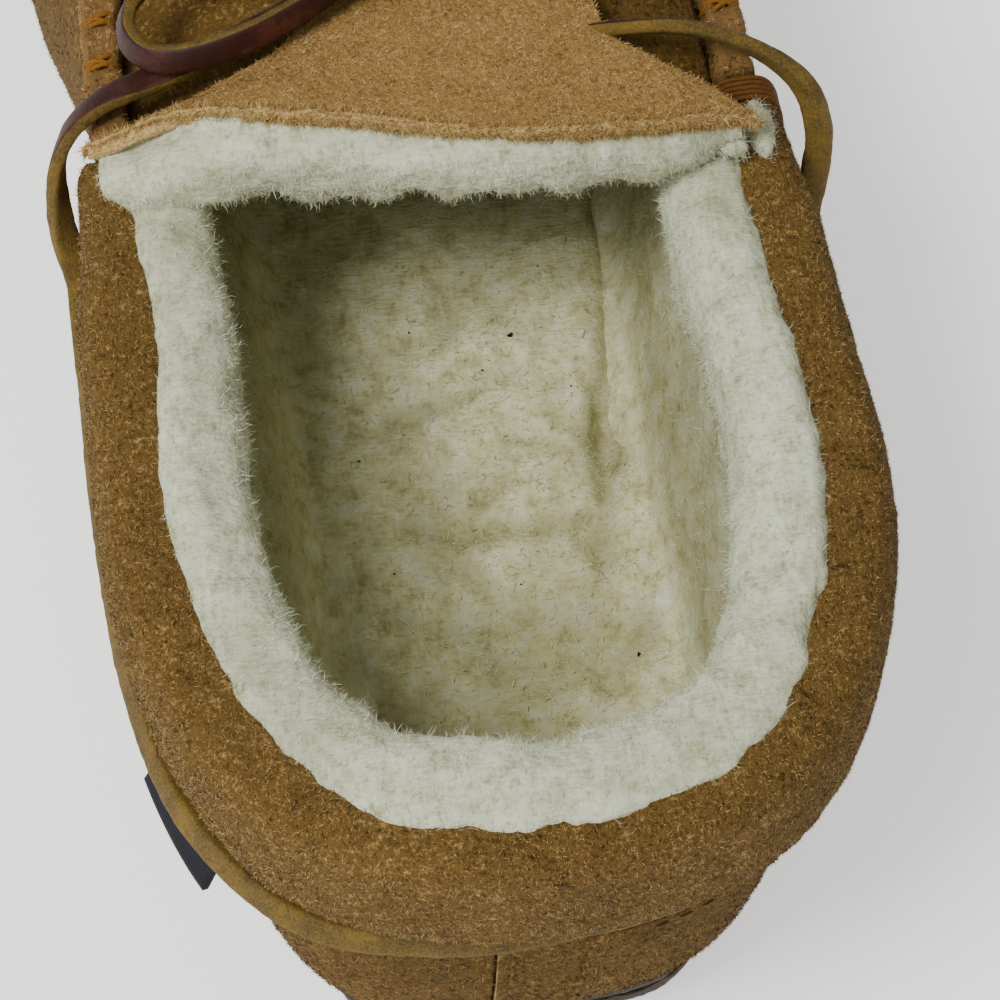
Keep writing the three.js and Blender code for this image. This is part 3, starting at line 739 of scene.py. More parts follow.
@dataclass(frozen=True)
class CutEdge:
    """Raw edge of suede: pale and fuzzy."""

    name: str
    pale: tuple
    deep: tuple

    def material(self) -> bpy.types.Material:
        """Builds the material."""
        net = Net(self.name)
        fuzz = net.noise(0.45, 3, 0.7)
        return net.finish(net.ramp(fuzz, (0.32, self.deep), (0.6, self.pale)), 0.95, fuzz, 0.35)


@dataclass(frozen=True)
class Fleece:
    """Wool pile: pale, slightly green, with painted shade in its grooves, hollows and inner walls, and yellowed and
    soiled low down where it is trodden.
    """

    name: str
    # The first colour is painted shade in the grooves and hollows and also the colour of random stains; the fourth is
    # soiling of the trodden footbed and painted shade on the lower walls
    hollow: tuple
    pale: tuple
    bright: tuple
    soiled_and_shade: tuple
    yellowed: tuple
    depth: float = 0.5
    # Heights in metres over which the trodden colour, with its soiling and painted shade, fades out going up
    clean_and_lit: float = 0.05
    deep: float = 0.024

    def material(self) -> bpy.types.Material:
        """Builds the material."""
        net = Net(self.name)
        strands = net.noise(0.55, 2, 0.65, net.stretched((0.3, 1, 1), (0.0, 0.3, 0.5)))
        crossed = net.noise(0.6, 2, 0.65, net.stretched((1, 0.3, 0.6), (0.3, 0.0, -0.3)))
        tufts = net.noise(3.2, 3, 0.6)
        stain = net.noise(26, 1, 0.5)
        tone = strands * 0.3 + crossed * 0.3 + tufts * 0.4
        # The darkest stop is painted shade in the grooves, where the bump is lowest; the large stains below are
        # random.
        colour = net.ramp(tone, (0.34, self.hollow), (0.48, self.pale), (0.62, self.bright))
        colour = net.mix(net.step(stain, 0.45, 0.75) * 0.3, colour, self.hollow)
        matted = tufts * 0.6 + strands * 0.2 + crossed * 0.2
        # Trodden colour, mixed in more the lower the pile lies: real yellowing and soiling on the footbed, painted
        # shade lower down the inner walls
        worn = net.ramp(matted, (0.22, self.soiled_and_shade), (0.49, self.yellowed), (0.66, self.bright))
        height = net.height()
        low = 0.9 - net.step(height, self.deep, self.clean_and_lit) * 0.9
        colour = net.mix(low, colour, worn)
        # Painted shade: a darker band on the inner walls, about 19 to 58 mm up, where little light reaches into the
        # pile
        shaded = net.step(height, 0.019, 0.03) * (1 - net.step(height, 0.034, 0.058))
        colour = net.mix(shaded * 0.5, colour, self.soiled_and_shade)
        # Painted shade in the sunk hollows of the displaced pile, where the relief is lowest
        sunk_shade = 1 - net.step(net.attribute("relief"), -1.9, 0.7)
        colour = net.mix(sunk_shade * 0.55, colour, net.mix(low, self.hollow, self.soiled_and_shade))
        return net.finish(colour, 1.0, strands * 0.55 + tufts * 0.45, self.depth, {"Specular IOR Level": 0.15})


@dataclass(frozen=True)
class Hair:
    """Loose fibres, from the darkest to the lightest by their own shade."""

    name: str
    dark: tuple
    middle: tuple
    light: tuple

    def material(self) -> bpy.types.Material:
        """Builds the material."""
        net = Net(self.name)
        colour = net.ramp(net.attribute("shade"), (0.0, self.dark), (0.5, self.middle), (1.0, self.light))
        return net.finish(colour, 0.9, None, 0, {"Specular IOR Level": 0.15})


@dataclass(frozen=True)
class Grain:
    """Smooth oiled face of the rawhide."""

    name: str
    deep: tuple
    worn: tuple

    def material(self) -> bpy.types.Material:
        """Builds the material."""
        net = Net(self.name)
        pores = net.noise(0.5, 3, 0.6)
        wear = net.noise(9, 3, 0.6)
        colour = net.mix(net.step(wear + (pores - 0.5) * 0.3, 0.42, 0.7), self.deep, self.worn)
        return net.finish(colour, 0.46 + wear * 0.2, pores, 0.06, {"Specular IOR Level": 0.3})


@dataclass(frozen=True)
class Flesh:
    """Rough back and edges of the rawhide."""

    name: str
    deep: tuple
    pale: tuple

    def material(self) -> bpy.types.Material:
        """Builds the material."""
        net = Net(self.name)
        fibre = net.noise(0.35, 4, 0.7)
        long = net.noise(4, 3, 0.6)
        colour = net.ramp(fibre * 0.6 + long * 0.4, (0.36, self.deep), (0.62, self.pale))
        return net.finish(colour, 0.8, fibre, 0.22)


@dataclass(frozen=True)
class Rubber:
    """Dull crepe rubber of the sole."""

    name: str
    deep: tuple
    dusty: tuple

    def material(self) -> bpy.types.Material:
        """Builds the material."""
        net = Net(self.name)
        crumb = net.noise(0.9, 4, 0.7)
        dust = net.noise(14, 3, 0.6)
        colour = net.mix(net.step(dust + (crumb - 0.5) * 0.6, 0.4, 0.75), self.deep, self.dusty)
        return net.finish(colour, 0.62 + crumb * 0.3, crumb, 0.3)


@dataclass(frozen=True)
class Woven:
    """Plain woven tape: fine ribs both ways."""

    name: str
    deep: tuple
    lit: tuple

    def material(self) -> bpy.types.Material:
        """Builds the material."""
        net = Net(self.name)
        weave = net.bands("Z", 700.0) * 0.6 + net.bands("Y", 520.0) * 0.4
        colour = net.mix(weave * 0.6 + net.noise(1.2, 2) * 0.4, self.deep, self.lit)
        return net.finish(colour, 0.95, weave, 0.05)


@dataclass(frozen=True)
class Thread:
    """Waxed twisted thread."""

    name: str
    deep: tuple
    lit: tuple

    def material(self) -> bpy.types.Material:
        """Builds the material."""
        net = Net(self.name)
        twist = net.noise(0.4, 2, 0.6)
        return net.finish(net.mix(twist, self.deep, self.lit), 0.8, twist, 0.1, {"Specular IOR Level": 0.2})


@dataclass(frozen=True)
class Floor:
    """Pale studio floor."""

    name: str
    pale: tuple

    def material(self) -> bpy.types.Material:
        """Builds the material."""
        net = Net(self.name)
        shade = net.noise(180, 0, 0.5)
        colour = net.mix(shade * 0.3, self.pale, srgb(236, 236, 234))
        return net.finish(colour, 0.85, None, 0, {"Emission Color": self.pale, "Emission Strength": 0.8})


class Finish(Enum):
    """The slipper's finishes."""

    SUEDE = Suede("tan_suede", srgb(49, 34, 10), srgb(95, 71, 29), srgb(156, 122, 66))
    SEAM = Suede("seam_suede", srgb(66, 46, 18), srgb(124, 92, 50), srgb(184, 148, 98), 0.8, 0.6)
    CUFF = Suede("napped_cuff", srgb(52, 38, 14), srgb(104, 79, 36), srgb(174, 142, 86), 0.8, 0.6)
    TONGUE = Suede("napped_tongue", srgb(106, 78, 36), srgb(162, 126, 68), srgb(210, 176, 114), 0.7)
    CUT = CutEdge("cut_suede", srgb(214, 182, 122), srgb(150, 114, 60))
    # The first colour is painted shade in grooves and hollows and also random stains; the fourth is soiling of the
    # footbed and painted shade on the inner walls
    FLEECE = Fleece(
        "wool_pile", srgb(150, 150, 108), srgb(204, 207, 176), srgb(226, 229, 206), srgb(112, 106, 58),
        srgb(212, 208, 160),
    )
    WOOL = Hair("wool_fibres", srgb(160, 160, 120), srgb(208, 209, 178), srgb(230, 231, 210))
    BED_WOOL = Hair("trodden_fibres", srgb(178, 173, 128), srgb(198, 194, 148), srgb(214, 211, 168))
    SUEDE_NAP = Hair("suede_fibres", srgb(50, 35, 11), srgb(95, 71, 30), srgb(154, 122, 68))
    CUFF_NAP = Hair("cuff_fibres", srgb(46, 34, 11), srgb(101, 78, 36), srgb(190, 158, 102))
    CUT_NAP = Hair("cut_fibres", srgb(118, 90, 44), srgb(176, 144, 84), srgb(212, 182, 122))
    TONGUE_NAP = Hair("tongue_fibres", srgb(104, 76, 36), srgb(162, 126, 70), srgb(220, 188, 132))
    GRAIN = Grain("rawhide_grain", srgb(48, 18, 8), srgb(84, 42, 24))
    FLESH = Flesh("rawhide_flesh", srgb(60, 46, 5), srgb(126, 98, 24))
    RUBBER = Rubber("crepe_rubber", srgb(44, 35, 18), srgb(84, 69, 40))
    TAPE = Woven("navy_tape", srgb(1, 2, 10), srgb(5, 8, 26))
    THREAD = Thread("amber_thread", srgb(98, 58, 12), srgb(158, 106, 36))
    DARK_THREAD = Thread("dark_thread", srgb(66, 38, 10), srgb(128, 84, 34))
    TAN_THREAD = Thread("tan_thread", srgb(72, 48, 18), srgb(124, 90, 46))
    SPECK = Hair("specks", srgb(34, 26, 14), srgb(60, 44, 24), srgb(78, 58, 34))

    def built(self) -> bpy.types.Material:
        """The finish's material, made once."""
        return bpy.data.materials.get(self.value.name) or self.value.material()


# ---------------------------------------------------------------- pieces


@dataclass
class Sole:
    """Rubber sole with its groove."""

    sides: tuple[tuple[float, float], ...] = (
        (-12, 0.02), (-1.6, 0), (-0.5, 0.05), (-0.15, 0.14), (0, 0.3), (0, 0.46), (-0.9, 0.52), (-0.9, 0.62),
        (0.35, 0.68), (0.45, 0.78), (0.4, 0.92), (0, 0.985), (-0.6, 1), (-9, 1),
    )
    rough: float = 0.22

    def place(self, turn: np.ndarray, side: np.ndarray) -> np.ndarray:
        """Points of the sole round the shoe and up its side."""
        out, rise = stepped(self.sides, side)
        point = LAST.outline("sole", turn) + LAST.outward("sole", turn) * out[..., None]
        share = point[..., 1] / LAST.length
        point[..., 2] = LAST.sole_lift(share) + rise * LAST.sole_thickness(share)
        return point

    def build(self) -> None:
        """Builds the sole in place of its solid."""
        mesh = surface(520, 52, self.place, close_ends=True)
        pushed(mesh, lambda p, n: self.rough * cloud(p, 1.6, 3, 2) * (np.abs(n[:, 2]) < 0.9))
        finished(mesh, "sole", "rubber", Finish.RUBBER, node="outsole")


@dataclass
class Shell:
    """Suede upper with its plug and puckered seam."""

    pitch: float = 7
    pucker: float = 1.1
    seam_width: float = 5
    seam_height: float = 5
    creases: tuple[tuple[float, float, float, float], ...] = (
        # along, lean, width, depth: soft troughs where the forefoot bends
        (0.60, 0.10, 5.0, 1.0), (0.645, -0.05, 4.0, 0.7), (0.70, 0.06, 6.0, 0.9), (0.55, -0.08, 5.0, 0.6),
        (0.78, 0.04, 5.0, 0.5),
    )
    slouches: tuple[tuple[float, float, float], ...] = (
        # turn, width as a share of the way round, depth: soft folds down the sides of the heel
        (0.055, 0.016, 0.9), (0.10, 0.014, 0.8), (0.205, 0.018, 0.9), (0.945, 0.016, 0.9), (0.895, 0.015, 0.8),
        (0.80, 0.02, 0.9), (0.25, 0.014, 0.6), (0.755, 0.014, 0.6),
    )

    def walked(self, turn: np.ndarray) -> np.ndarray:
        """Millimetres walked along the rim from the outer throat."""
        turns = np.linspace(0, 1, 1200)
        rim = LAST.face(turns, np.ones_like(turns))
        steps = walked_along(rim)
        return np.interp(turn, turns, steps) - np.interp(OUTER_THROAT, turns, steps)

    def forepart(self, turn: np.ndarray) -> np.ndarray:
        """1 beside the plug and 0 round the collar."""
        return smooth(turn, OUTER_THROAT - 0.004, OUTER_THROAT + 0.01) * smooth(
            turn, INNER_THROAT + 0.004, INNER_THROAT - 0.01
        )

    def wrinkled(self, points: np.ndarray) -> np.ndarray:
        """Depth of the bends across the forefoot, in millimetres."""
        depth = np.zeros(len(points))
        for along, lean, width, deep in self.creases:
            line = along * LAST.length + lean * points[:, 0] + 3 * cloud(points, 30, 5)
            depth -= deep * np.exp(-(((points[:, 1] - line) / width) ** 2))
            depth += 0.45 * deep * np.exp(-(((points[:, 1] - line - 1.6 * width) / width) ** 2))
        return depth

    def place(self, turn: np.ndarray, level: np.ndarray) -> np.ndarray:
        """Outer face of the upper with its puckers and folds."""
        fore = self.forepart(turn)
        wave = np.abs(np.sin(np.pi * self.walked(turn) / self.pitch))
        fade = np.exp(-(((1 - level) / 0.2) ** 1.4))
        depth = -self.pucker * (1 - wave) * fade * fore
        plain = LAST.face(turn, level)
        depth += fore * smooth(level, 0.15, 0.5) * self.wrinkled(plain)
        for middle, width, deep in self.slouches:
            near = np.exp(-(((turn - middle + 0.012 * np.sin(7 * level)) / width) ** 2))
            depth -= deep * near * smooth(level, 0.05, 0.35) * smooth(level, 0.75, 0.5)
        depth += 0.25 * cloud(plain, 12, 2, 2) * (1 - smooth(level, 0.55, 0.75) * (1 - fore))
        return LAST.wall(turn, level, depth)

    def plug_place(self, down: np.ndarray, across: np.ndarray) -> np.ndarray:
        """Top of the plug with its bends and the puckers along its edge."""
        reach = down * 0.93
        point = LAST.plug(reach, across)
        side = np.minimum(across, 1 - across)
        wave = np.abs(np.sin(np.pi * down * 150 / self.pitch))
        point[..., 2] += -0.45 * (1 - wave) * np.exp(-((side / 0.07) ** 2))
        point[..., 2] += self.wrinkled(point) * smooth(side, 0.0, 0.12) + 0.3 * cloud(point, 9, 8, 2)
        return point

    def seam_place(self, run: np.ndarray, turn: np.ndarray) -> np.ndarray:
        """Raised seam: two edges that stand together, drawn in at each stitch."""
        start, end = OUTER_THROAT + 0.001, INNER_THROAT - 0.001
        place = start + (end - start) * run
        centre = LAST.face(place, np.ones_like(place))
        out = LAST.outward("rim", place)
        wave = np.abs(np.sin(np.pi * self.walked(place) / self.pitch)) ** 0.6
        swell = 0.72 + 0.33 * wave
        angle = 2 * np.pi * turn
        cosine, sine = np.cos(angle), np.sin(angle)
        wide = squarer(cosine, 0.7) * self.seam_width / 2 * swell
        tall = squarer(sine, 0.6) * self.seam_height / 2 * np.where(sine > 0, swell, 1.35)
        cleft = 0.9 * np.exp(-((cosine / 0.22) ** 2)) * (sine > 0)
        point = centre + out * wide[..., None]
        point[..., 2] += LAST.gap + self.seam_height / 2 + tall - cleft
        return point

    def stitches(self) -> bpy.types.Mesh:
        """Amber thread over the raised seam at each pucker."""
        threads = []
        start, end = OUTER_THROAT + LAST.throat_step, INNER_THROAT - LAST.throat_step
        total = float(self.walked(np.array([end]))[0])
        turns = np.linspace(start, end, 900)
        walked = self.walked(turns)
        for number in range(1, int(total / self.pitch)):
            for slip, lean in ((-0.5, 0.5), (0.0, -0.7), (0.55, 1.1)):
                turn = np.interp(number * self.pitch + slip, walked, turns)
                centre = LAST.face(np.array([turn]), np.array([1.0]))[0]
                out = LAST.outward("rim", np.array([turn]))[0]
                run = np.array((-out[1], out[0], 0.0))
                angle = np.radians(np.linspace(-35, 215, 11))
                reach = (self.seam_width * 0.82) / 2 + 0.18
                lift = (self.seam_height * 0.84) / 2 + 0.18
                path = centre + out * (np.cos(angle) * reach)[:, None]
                path += run * (lean * np.cos(angle))[:, None]
                path[:, 2] += LAST.gap + self.seam_height / 2 + np.sin(angle) * lift
                threads.append(tube(path, 0.36, 6))
        return joined(threads)

    def build(self) -> None:
        """Builds the upper, the plug and the seam in place of their solids."""
        mesh = facing_out(surface(760, 44, self.place))
        upper = finished(mesh, "suede_upper", "suede", Finish.SUEDE, node="upper")
        napped(mesh, "upper_nap", "suede", Finish.SUEDE_NAP)
        mesh = facing(surface(190, 90, self.plug_place), UP)
        plug = finished(mesh, "suede_plug", "suede", Finish.SUEDE, node="plug")
        napped(mesh, "plug_nap", "suede", Finish.SUEDE_NAP)
        for piece in (upper, plug):
            thickened(piece, LAST.wall_thick)
        mesh = surface(900, 18, self.seam_place, close_ends=True)
        pushed(mesh, lambda p, n: 0.24 * cloud(p, 2.6, 6, 2) + 0.1 * cloud(p, 0.9, 7))
        finished(mesh, "raised_seam", "suede", Finish.SEAM, node="plug_seam")
        napped(mesh, "seam_nap", "suede", Finish.CUFF_NAP)
        finished(self.stitches(), "seam_thread", "thread", Finish.THREAD)


def facing_out(mesh: bpy.types.Mesh) -> bpy.types.Mesh:
    """Turns an open wall round the shoe so that it faces away from the shoe's middle."""
    away = read(mesh.polygons, "center") * (1, 1, 0)
    away[:, 1] -= np.clip(away[:, 1], -0.08, 0.08)
    if (read(mesh.polygons, "normal") * away).sum() < 0:
        mesh.flip_normals()
    return mesh


@dataclass
class Cuff:
    """Folded suede cuff round the collar."""

    out: float = 7.4
    inside: float = 0.6
    taper: float = 0.36
    heel_taper: float = 0.14
    narrow: float = 0.2
    rise: float = 3.6
    drop: float = 18

    def thickness(self, turn: np.ndarray) -> np.ndarray:
        """Thickness outside the wall."""
        along = LAST.column("rim_along", turn)
        ends = smooth(along, 0.78 * LAST.throat, LAST.throat)
        heel = 1 - smooth(along, 0, 0.25 * LAST.throat)
        return self.out * (1 - self.taper * ends - self.heel_taper * heel)

    def fall(self, turn: np.ndarray) -> np.ndarray:
        """Drop of the lower edge below the rim."""
        ends = smooth(LAST.column("rim_along", turn), 0.6 * LAST.throat, LAST.throat)
        return self.drop * (1 - self.narrow * ends)

    def under(self, turn: np.ndarray, out: np.ndarray) -> np.ndarray:
        """Points on the underside, out from the wall by a share of the thickness."""
        rim = LAST.column("rise", turn) * LAST.height
        return LAST.wall(turn, LAST.level_at(turn, rim - self.fall(turn)), out * self.thickness(turn))

    def place(self, run: np.ndarray, ring: np.ndarray) -> np.ndarray:
        """Points of the roll along the collar and round its section."""
        turns, where = np.unique(run, return_inverse=True)
        turn = INNER_THROAT - 1 + (OUTER_THROAT - INNER_THROAT + 1) * turns
        rim = LAST.face(turn, np.ones_like(turn))
        out = LAST.outward("rim", turn)
        thick = self.thickness(turn)
        lowest = LAST.level_at(turn, rim[:, 2] - self.fall(turn))

        def over(side: np.ndarray | float, lift: float) -> np.ndarray:
            """Points out from the rim and above it."""
            return rim + out * np.broadcast_to(side, turn.shape)[:, None] + UP * lift

        def down(share: float, side: np.ndarray | float) -> np.ndarray:
            """Points out from the wall, a share of the way down to the cuff's edge."""
            return LAST.wall(turn, 1 + (lowest - 1) * share, np.broadcast_to(side, turn.shape))

        low = LAST.wall_thick + self.inside
        points = [
            down(0.98, 0.7), down(0.5, 0.7), over(0.7, 0.3), over(-low, 0.4), over(-low, 0.62 * self.rise),
            over(-1.4, 0.93 * self.rise), over(0.16 * thick, self.rise), over(0.5 * thick, self.rise * 0.95),
            over(0.8 * thick, 0.66 * self.rise), down(0.03, thick * 0.99), down(0.2, thick * 1.03),
            down(0.42, thick * 1.04), down(0.65, thick * 1.03), down(0.86, thick * 0.98), down(0.97, thick * 0.82),
            down(1.015, thick * 0.45), down(0.98, 0.7),
        ]
        profile = np.stack(points, axis=1)
        return along_curve(profile[where], ring)

    def build(self) -> None:
        """Builds the cuff in place of its solid, with its nap."""
        mesh = surface(620, 64, self.place, close_ends=True)
        pushed(mesh, lambda p, n: 0.35 * cloud(p, 14, 1, 2) + 0.22 * cloud(p, 3.2, 4, 2) + 0.12 * cloud(p, 1.1, 9))
        finished(mesh, "suede_cuff", "cuff_suede", Finish.CUFF, node="collar_cuff")
        napped(mesh, "cuff_nap", "cuff_suede", Finish.CUFF_NAP, lambda p, n: 0.1 + (n[:, 2] > -0.4))
        threads = []
        ring = np.linspace(0, 1, 61)
        for number in range(5):
            path = self.place(np.full(61, 0.001 + 0.0026 * number), ring + 0.004 * number)
            path += unit(path - path.mean(0)) * 0.35
            threads.append(tube(path, 0.34, 6))
        finished(joined(threads), "end_wraps", "thread", Finish.DARK_THREAD)


CUFF = Cuff()


@dataclass
class Patches:
    """Heel patches, back strip and their stitches."""

    stay: float = 12
    foot: float = 2.2
    top: float = 37
    end: float = 0.165
    thick: float = 1.5
    stay_thick: float = 1.9
    stitch: float = 3.2

    def pace(self) -> float:
        """Millimetres for a whole round at the pace of the heel."""
        heel = LAST.face(np.array([0.0, 0.01]), np.array([0.5, 0.5]))
        return float(np.linalg.norm(heel[1] - heel[0])) / 0.01

    def patch(self, name: str, node: str, start: float, end: float, top: float, thick: float, columns: int) -> None:
        """Builds one patch.

        Args:
            name: the piece's name.
            node: the solid that it stands for.
            start: first place round the shoe.
            end: last place round the shoe.
            top: height of its top edge.
            thick: its thickness.
            columns: faces along it.
        """

        def place(run: np.ndarray, rise: np.ndarray) -> np.ndarray:
            """Points of the patch's outer face."""
            turn = start + (end - start) * run
            low = LAST.level_at(turn, np.full_like(turn, LAST.sole_heel + self.foot))
            high = LAST.level_at(turn, np.full_like(turn, top))
            level = low + (high - low) * rise
            plain = LAST.face(turn, level)
            soft = 0.2 * cloud(plain, 9, 14, 2)
            return LAST.wall(turn, level, LAST.gap + thick + soft)

        mesh = facing_out(surface(columns, 26, place))
        patch = finished(mesh, name, "suede", Finish.SUEDE, Finish.CUT, node=node)
        napped(mesh, name + "_nap", "suede", Finish.SUEDE_NAP)
        thickened(patch, thick, 1)

    def row(self, turns: np.ndarray, heights: np.ndarray, out: float) -> list[tuple[np.ndarray, np.ndarray]]:
        """A row of stitches along a line on the wall."""
        level = LAST.level_at(turns, heights)
        line = LAST.wall(turns, level, np.full_like(turns, out))
        walked = walked_along(line)
        threads = []
        for number in range(int(walked[-1] / self.stitch)):
            spots = number * self.stitch + np.linspace(0.3, self.stitch - 0.6, 6)
            path = np.stack([np.interp(spots, walked, line[:, k]) for k in range(3)], axis=1)
            sink = LAST.wall(np.interp(spots, walked, turns), np.interp(spots, walked, level), np.full(6, out - 0.4))
            path = mixed(path, sink, np.array((1, 0.15, 0, 0, 0.15, 1)))
            threads.append(tube(path, 0.28, 6))
        return threads

    def build(self) -> None:
        """Builds the patches in place of their solids."""
        pace = self.pace()
        half, step = self.stay / 2 / pace, 1.2 * LAST.gap / pace
        stay_top = LAST.height - CUFF.drop - 3 - 2 * LAST.gap
        self.patch("heel_patch_outer", "counter_outer", half + step, self.end, self.top, self.thick, 150)
        self.patch("heel_patch_inner", "counter_inner", -self.end, -half - step, self.top, self.thick, 151)
        self.patch("back_strip", "backstay", -half, half, stay_top, self.stay_thick, 40)
        threads = []
        foot, top = LAST.sole_heel + self.foot + 1.5, self.top - 2.2
        for side in (1, -1):
            turns = side * np.linspace(half + step + 0.012, self.end - 0.004, 300)
            threads += self.row(turns, np.full(300, top), LAST.gap + self.thick + 0.12)
            turns = np.full(120, side * (self.end - 0.006))
            threads += self.row(turns, np.linspace(foot, top, 120), LAST.gap + self.thick + 0.12)
            turns = np.full(120, side * (half - 1.6 / pace))
            threads += self.row(turns, np.linspace(foot, stay_top - 1.5, 120), LAST.gap + self.stay_thick + 0.12)
        finished(joined(threads), "heel_thread", "thread", Finish.TAN_THREAD)


@dataclass
class Tab:
    """Plain navy tab that hangs under the cuff."""

    width: float = 12
    height: float = 13
    thick: float = 0.9
    start: float = 0.088
    rows: tuple[tuple[float, float], ...] = ((0.26, 0), (0.3, 0.3), (0.75, 0.6), (1.1, 1))

    def place(self, run: np.ndarray, down: np.ndarray) -> np.ndarray:
        """Points of the tab's outer face."""
        turn = self.start + self.width / PATCHES.pace() * run
        out, fall = stepped(self.rows, down)
        point = CUFF.under(turn, np.zeros_like(turn))
        point = point + LAST.outward("rim", turn) * (out * CUFF.out + self.thick)[..., None]
        point[..., 2] -= 2 * LAST.gap + fall * self.height
        return point

    def build(self) -> None:
        """Builds the tab in place of its solid."""
        mesh = facing(surface(24, 30, self.place), np.array((-1.0, -0.6, 0.3)))
        thickened(finished(mesh, "navy_tab", "tab_cloth", Finish.TAPE, node="side_tab"), self.thick)


PATCHES = Patches()


@dataclass
class Tongue:
    """Fan tongue: suede on top and a thick fleece under its free edge."""

    thick: float = 2
    rise: float = 8
    falls: float = 7.6
    half: float = 0.36
    clear: float = 0.9
    slope: float = 0.9
    rows: tuple[tuple[float, ...], ...] = (
        # outer along, outer across, inner along, inner across, lift
        (0.474, -0.1, 0.474, 0.185, 0), (0.428, -0.106, 0.421, 0.2, 0.06), (0.402, -0.19, 0.392, 0.208, 0.25),
        (0.386, -0.285, 0.373, 0.26, 0.5), (0.377, -0.36, 0.354, 0.318, 0.78), (0.37, -0.42, 0.337, 0.36, 1),
    )
    edge: tuple[tuple[float, float], ...] = (
        # back, sag
        (0, 0), (-1.6, 0), (0.6, 0.2), (2.8, 1), (4.4, 1.8), (4.2, 1.8), (2.4, 0.9), (0, 0),
    )
    hem: tuple[tuple[float, float, float], ...] = (
        # across, down, back: lower edge of the fleece below the free edge
        (0, 9, 5), (0.06, 12, 8.4), (0.17, 13.5, 8.2), (0.27, 13, 5.4), (0.43, 13, 5), (0.52, 11, 4.4),
        (0.6, 8.5, 3), (0.7, 11, 3.6), (0.78, 11, 3.6), (0.88, 7.5, 2.4), (1, 6.5, 2),
    )

    def place(self, down: np.ndarray, across: np.ndarray) -> np.ndarray:
        """Top face of the suede, from its root to its free edge and from the outer to the inner side."""
        ay, ax, by, bx, lift = stepped(self.rows, down)
        x = (ax + (bx - ax) * across) * LAST.ball
        y = (ay + (by - ay) * across) * LAST.length
        edge = np.array(self.edge)
        fine = np.linspace(0, 1, 60)
        back, sag = (
            np.interp(across, fine, along_curve(np.repeat(edge[None, :, k : k + 1], 60, 0), fine)[:, 0])
            for k in (0, 1)
        )
        y = y - back * lift
        side = np.clip(x / (self.half * LAST.ball), -1.15, 1.15)
        throat = LAST.plug(np.array([0.0]), np.array([0.5]))[0]
        further = LAST.plug(np.array([0.2]), np.array([0.5]))[0]
        slope = self.slope * (throat[2] - further[2]) / (further[1] - throat[1])
        base = throat[2] + self.clear - self.falls * side**2 - slope * np.maximum(0, y - throat[1])
        z = base + (self.rise - sag) * lift + self.thick - 0.8 * smooth(down, 0.1, 0)
        return np.stack([x, y, z], axis=-1)

    def edge_place(self, across: np.ndarray, ring: np.ndarray) -> np.ndarray:
        """The soft raw edge along the tongue's free edge."""
        rim = self.place(np.ones_like(across), across)
        back = unit(rim - self.place(np.full_like(across, 0.94), across))
        angle = 2 * np.pi * ring
        return rim + back * (0.8 * np.cos(angle))[:, None] + UP * (1.3 * np.sin(angle) - self.thick / 2)[:, None]

    def fleece_place(self, across: np.ndarray, ring: np.ndarray) -> np.ndarray:
        """The fleece under the tongue: a thick pad whose lower edge hangs in waves."""
        lanes, where = np.unique(across, return_inverse=True)
        inset = 0.015 + 0.97 * lanes
        rim = self.place(np.ones_like(lanes), inset)
        hem = np.array(self.hem)
        depth = np.interp(lanes, hem[:, 0], hem[:, 1]) + 1.1 * np.sin(lanes * 23) + 0.8 * np.sin(lanes * 61 + 1)
        back = np.interp(lanes, hem[:, 0], hem[:, 2])
        root = [self.place(np.full_like(lanes, share), inset) for share in (0.92, 0.8, 0.62, 0.4)]

        def at(point: np.ndarray, behind: np.ndarray | float, below: np.ndarray | float) -> np.ndarray:
            """Points moved towards the heel and down."""
            move = np.zeros_like(point)
            move[:, 1] = -np.broadcast_to(behind, lanes.shape)
            move[:, 2] = -np.broadcast_to(below, lanes.shape)
            return point + move

        points = [
            at(root[2], 0, 1.6), at(root[1], 0, 1.6), at(root[0], 0, 1.6), at(rim, 0.2, 1.5), at(rim, 1.0, 1.9),
            at(rim, back * 0.75, 2.8), at(rim, back, 4.8), at(rim, back, depth * 0.75),
            at(rim, back * 0.7, depth * 0.95), at(rim, -1.5, depth), at(root[0], 0, depth * 0.9),
            at(root[1], 0, depth * 0.8), at(root[2], 0, 9), at(root[3], 0, 8), at(root[3], 0, 2),
            at(root[2], 0, 1.6),
        ]
        profile = np.stack(points, axis=1)
        return along_curve(profile[where], ring)

    def build(self) -> None:
        """Builds the tongue in place of its solid."""
        mesh = surface(150, 210, self.place)
        facing(mesh, UP)
        pushed(mesh, lambda p, n: 0.3 * cloud(p, 16, 12, 2) + 0.12 * cloud(p, 2.2, 13, 2))
        tongue = finished(mesh, "suede_tongue", "tongue_suede", Finish.TONGUE, Finish.CUT, node="tongue")
        napped(mesh, "tongue_nap", "tongue_suede", Finish.TONGUE_NAP)
        thickened(tongue, self.thick, 1)
        mesh = surface(520, 12, self.edge_place, close_ends=True)
        pushed(mesh, lambda p, n: 0.3 * cloud(p, 2.4, 44, 2) + 0.14 * cloud(p, 0.8, 45))
        finished(mesh, "tongue_edge", "tongue_suede", Finish.CUT)
        napped(mesh, "tongue_edge_nap", "tongue_suede", Finish.CUT_NAP)
        mesh = surface(240, 110, self.fleece_place, close_ends=True)
        pushed(mesh, lambda p, n: woolly(p, n) + 0.9 * cloud(p, 8, 47))
        finished(mesh, "tongue_fleece", "fleece", Finish.FLEECE)

        def hanging(points: np.ndarray, normals: np.ndarray) -> np.ndarray:
            """Where the wool hangs free."""
            return (points[:, 1] < 106) * (normals[:, 2] < 0.9) + 0.02

        def comb(points: np.ndarray, normals: np.ndarray) -> np.ndarray:
            """Down and towards the heel."""
            return np.stack([0.5 * cloud(points, 7, 17), -0.5 + 0 * points[:, 0], -1.0 + 0 * points[:, 0]], axis=1)

